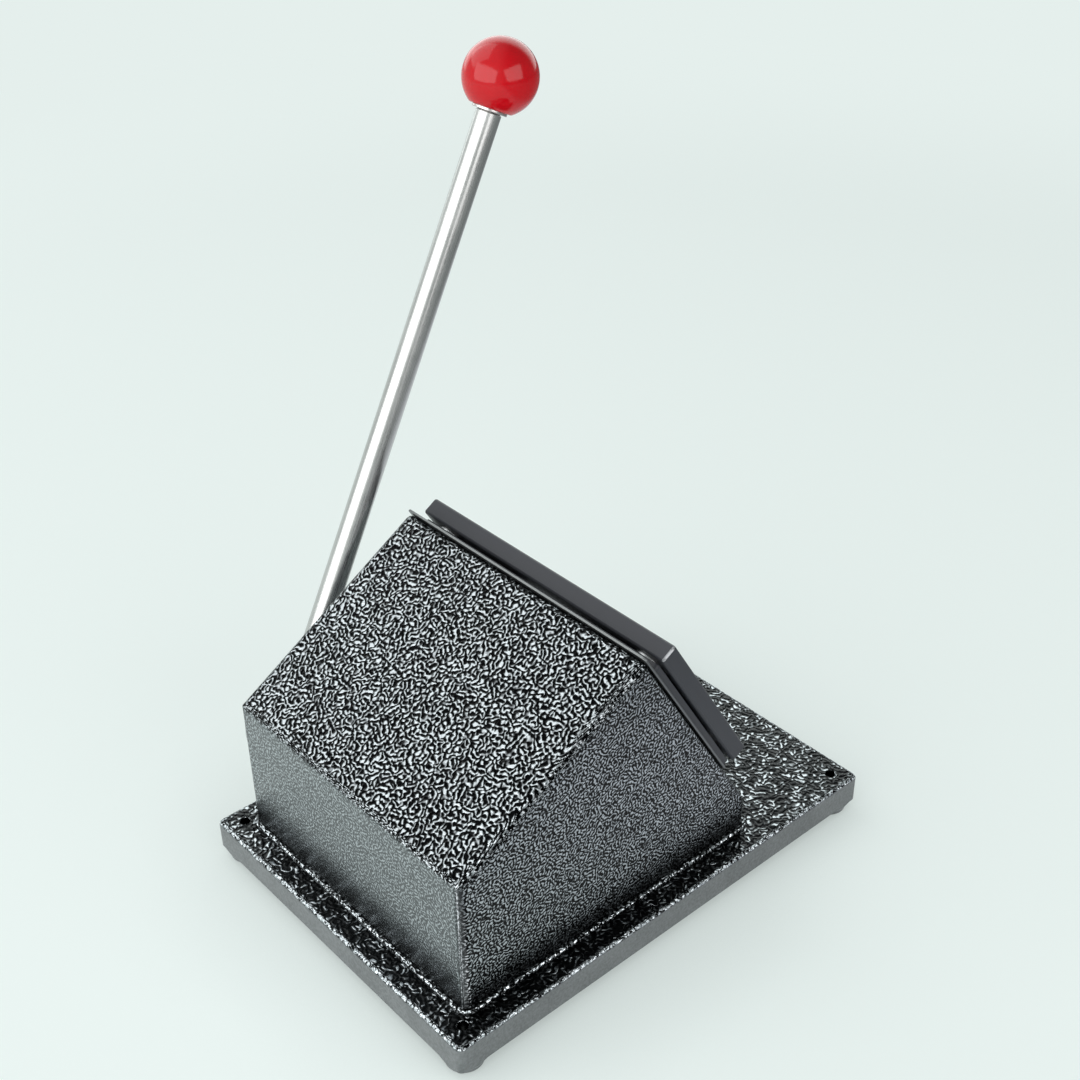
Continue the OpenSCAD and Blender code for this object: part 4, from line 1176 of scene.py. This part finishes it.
class CUTTER_OT_knob(Operator):
    """Ball knob and its plated insert"""

    bl_idname = "cutter.knob"
    bl_label = "Knob"

    def execute(self, context):
        s = sizes()
        flat = -sqrt(s.knob_r ** 2 - s.knob_flat ** 2)
        start = atan2(flat, s.knob_flat)
        turns = [start + (pi / 2 - start) * k / BALL_ROWS for k in range(1, BALL_ROWS)]
        arc = [(s.knob_r * cos(a), s.knob_r * sin(a), 0.0) for a in turns]
        bore_round, rim_round = 0.0004, 0.0007
        end = flat + s.knob_depth
        profile = fillet([(s.knob_bore * 0.5, end, 0), (s.knob_bore, end, bore_round),
                          (s.knob_bore, flat, bore_round), (s.knob_flat, flat, rim_round), *arc])
        loops = [ring_points(p.x, p.y, BALL_POINTS) for p in profile]
        piece("red_ball", skin(loops, "ball", on_lever(s.lever_len)), "knob", "ball_knob")
        eased("plated_insert", "knob_insert", "nickel", s.fine_round)
        return {"FINISHED"}


class CUTTER_OT_stage(Operator):
    """Floor, lamps, even light and camera"""

    bl_idname = "cutter.stage"
    bl_label = "Stage"

    def execute(self, context):
        t = context.scene.cutter_studio
        context.scene.view_settings.view_transform = "Standard"
        left = (-cos(t.azimuth), -sin(t.azimuth), 0.0)
        beyond = (-sin(t.azimuth), cos(t.azimuth), 0.0)
        self.add_floor(t, left)
        self.add_sky(t, left, beyond)
        self.add_lamps(t)
        self.add_camera(t)
        return {"FINISHED"}

    def rays(self, tree):
        """Masks of the rays from the camera and of those from mirrors and glass."""
        path = Node(tree, "ShaderNodeLightPath")
        return path["Is Camera Ray"], path["Is Glossy Ray"].greatest(path["Is Transmission Ray"])

    def add_floor(self, t, left):
        half = t.floor_half
        mesh = bpy.data.meshes.new("pale_floor")
        corners = [(-half, -half, 0), (half, -half, 0), (half, half, 0), (-half, half, 0)]
        mesh.from_pydata(corners, [], [(0, 1, 2, 3)])
        floor = linked("pale_floor", mesh)
        material, shader, place = blank_finish("pale_floor")
        tree = place.tree
        drift = place.noise(1.2)
        shader.fill({"Base Color": drift.tint(shade(t.floor, 0.985), shade(t.floor, 1.015)),
                     "Roughness": 0.9, "Specular IOR Level": 0.2})
        direct, mirrored = self.rays(tree)
        seen = direct.greatest(mirrored)

        # In reflections the floor is darker and cooler to the right
        fade = place.along(left, -0.33, -0.12, 0.12, 1.0)
        level = mirrored * (fade - 1.0) + 1.0
        cool = mirrored * place.along(left, -0.20, 0.05, 1.0, 0.0)

        # A contact shadow near the machine, and one even tone far from it
        shadow = Node(tree, "ShaderNodeAmbientOcclusion", {"Distance": t.shadow_reach}, samples=6)
        far = direct * place.vector("LENGTH", result="Value").stretch(*FAR)
        strength = level * (shadow["AO"] * 0.5 + 0.5) * (far * (t.far_tone - 1.0) + 1.0)
        glow = Node(tree, "ShaderNodeEmission",
                    {"Color": cool.tint(t.floor, COOL_FLOOR), "Strength": strength})
        share = far * (1.0 - t.even) + seen * t.even
        both = share.feed("ShaderNodeMixShader", {1: shader[0], 2: glow[0]})
        out = next(n for n in tree.nodes if n.bl_idname == "ShaderNodeOutputMaterial")
        tree.links.new(both[0].socket, out.inputs[0])
        mesh.materials.append(material)

    def add_sky(self, t, left, beyond):
        world = bpy.data.worlds.new("studio")
        bpy.context.scene.world = world
        world.use_nodes = True
        tree = world.node_tree
        tree.nodes.clear()
        direct, mirrored = self.rays(tree)
        way = Node(tree, "ShaderNodeTexCoord")["Generated"]
        sides = way.along(left, -0.45, 0.20, 0.20, 0.70)
        sides = sides.greatest(way.along(beyond, 0.45, 0.75, 0.20, 2.20))
        behind = direct * (t.floor[1] * t.far_tone - t.ambient)
        strength = behind + mirrored * (sides - t.ambient) + t.ambient
        sky = Node(tree, "ShaderNodeBackground", {"Color": (*SKY, 1.0), "Strength": strength})
        Node(tree, "ShaderNodeOutputWorld", {0: sky[0]})

    def add_lamps(self, t):
        for name, key, wide, tall, reach, way in LAMPS:
            lamp = bpy.data.lights.new(name, "AREA")
            lamp.shape = "RECTANGLE"
            lamp.energy = getattr(t, key)
            lamp.size, lamp.size_y = wide, tall
            obj = linked(name, lamp)
            obj.location = AIM + Vector(way).normalized() * reach
            obj.rotation_euler = (-Vector(way)).to_track_quat("-Z", "Y").to_euler()
            obj.visible_camera = False

    def add_camera(self, t):
        az, el, roll = t.azimuth, t.elevation, t.roll
        back = Vector((sin(az) * cos(el), -cos(az) * cos(el), sin(el)))
        right = Vector((cos(az), sin(az), 0))
        up = back.cross(right)
        side = cos(roll) * right + sin(roll) * up
        top = -sin(roll) * right + cos(roll) * up
        lens = bpy.data.cameras.new("photo_camera")
        lens.sensor_width = 36.0
        lens.sensor_fit = "HORIZONTAL"
        lens.lens = t.lens
        lens.clip_start = 0.01
        camera = linked("photo_camera", lens)
        camera.matrix_world = Matrix((side, top, back)).transposed().to_4x4()
        camera.location = t.camera_place
        bpy.context.scene.camera = camera


STEPS = (CUTTER_OT_castings, CUTTER_OT_feet, CUTTER_OT_die_set, CUTTER_OT_screws, CUTTER_OT_ram,
         CUTTER_OT_posts, CUTTER_OT_springs, CUTTER_OT_cam_drive, CUTTER_OT_lever, CUTTER_OT_knob,
         CUTTER_OT_stage)
GROUPS = {"cutter_sizes": CutterSizes, "cutter_colours": CutterColours,
          "cutter_studio": CutterStudio}


class CUTTER_PT_panel(Panel):
    """Steps that finish the cutter"""

    bl_idname = "CUTTER_PT_panel"
    bl_label = "Badge Blank Cutter"
    bl_space_type = "VIEW_3D"
    bl_region_type = "UI"
    bl_category = "Cutter"

    def draw(self, context):
        for name in GROUPS:
            group = getattr(context.scene, name)
            box = self.layout.box()
            for key in group.__annotations__:
                box.prop(group, key)
        for step in STEPS:
            self.layout.operator(step.bl_idname)


CLASSES = (*GROUPS.values(), *STEPS, CUTTER_PT_panel)


def register():
    for cls in CLASSES:
        bpy.utils.register_class(cls)
    for name, cls in GROUPS.items():
        setattr(bpy.types.Scene, name, PointerProperty(type=cls))


def unregister():
    for name in GROUPS:
        delattr(bpy.types.Scene, name)
    for cls in reversed(CLASSES):
        bpy.utils.unregister_class(cls)


def main():
    register()
    for step in STEPS:
        group, name = step.bl_idname.split(".")
        getattr(getattr(bpy.ops, group), name)()


if __name__ == "__main__":
    main()
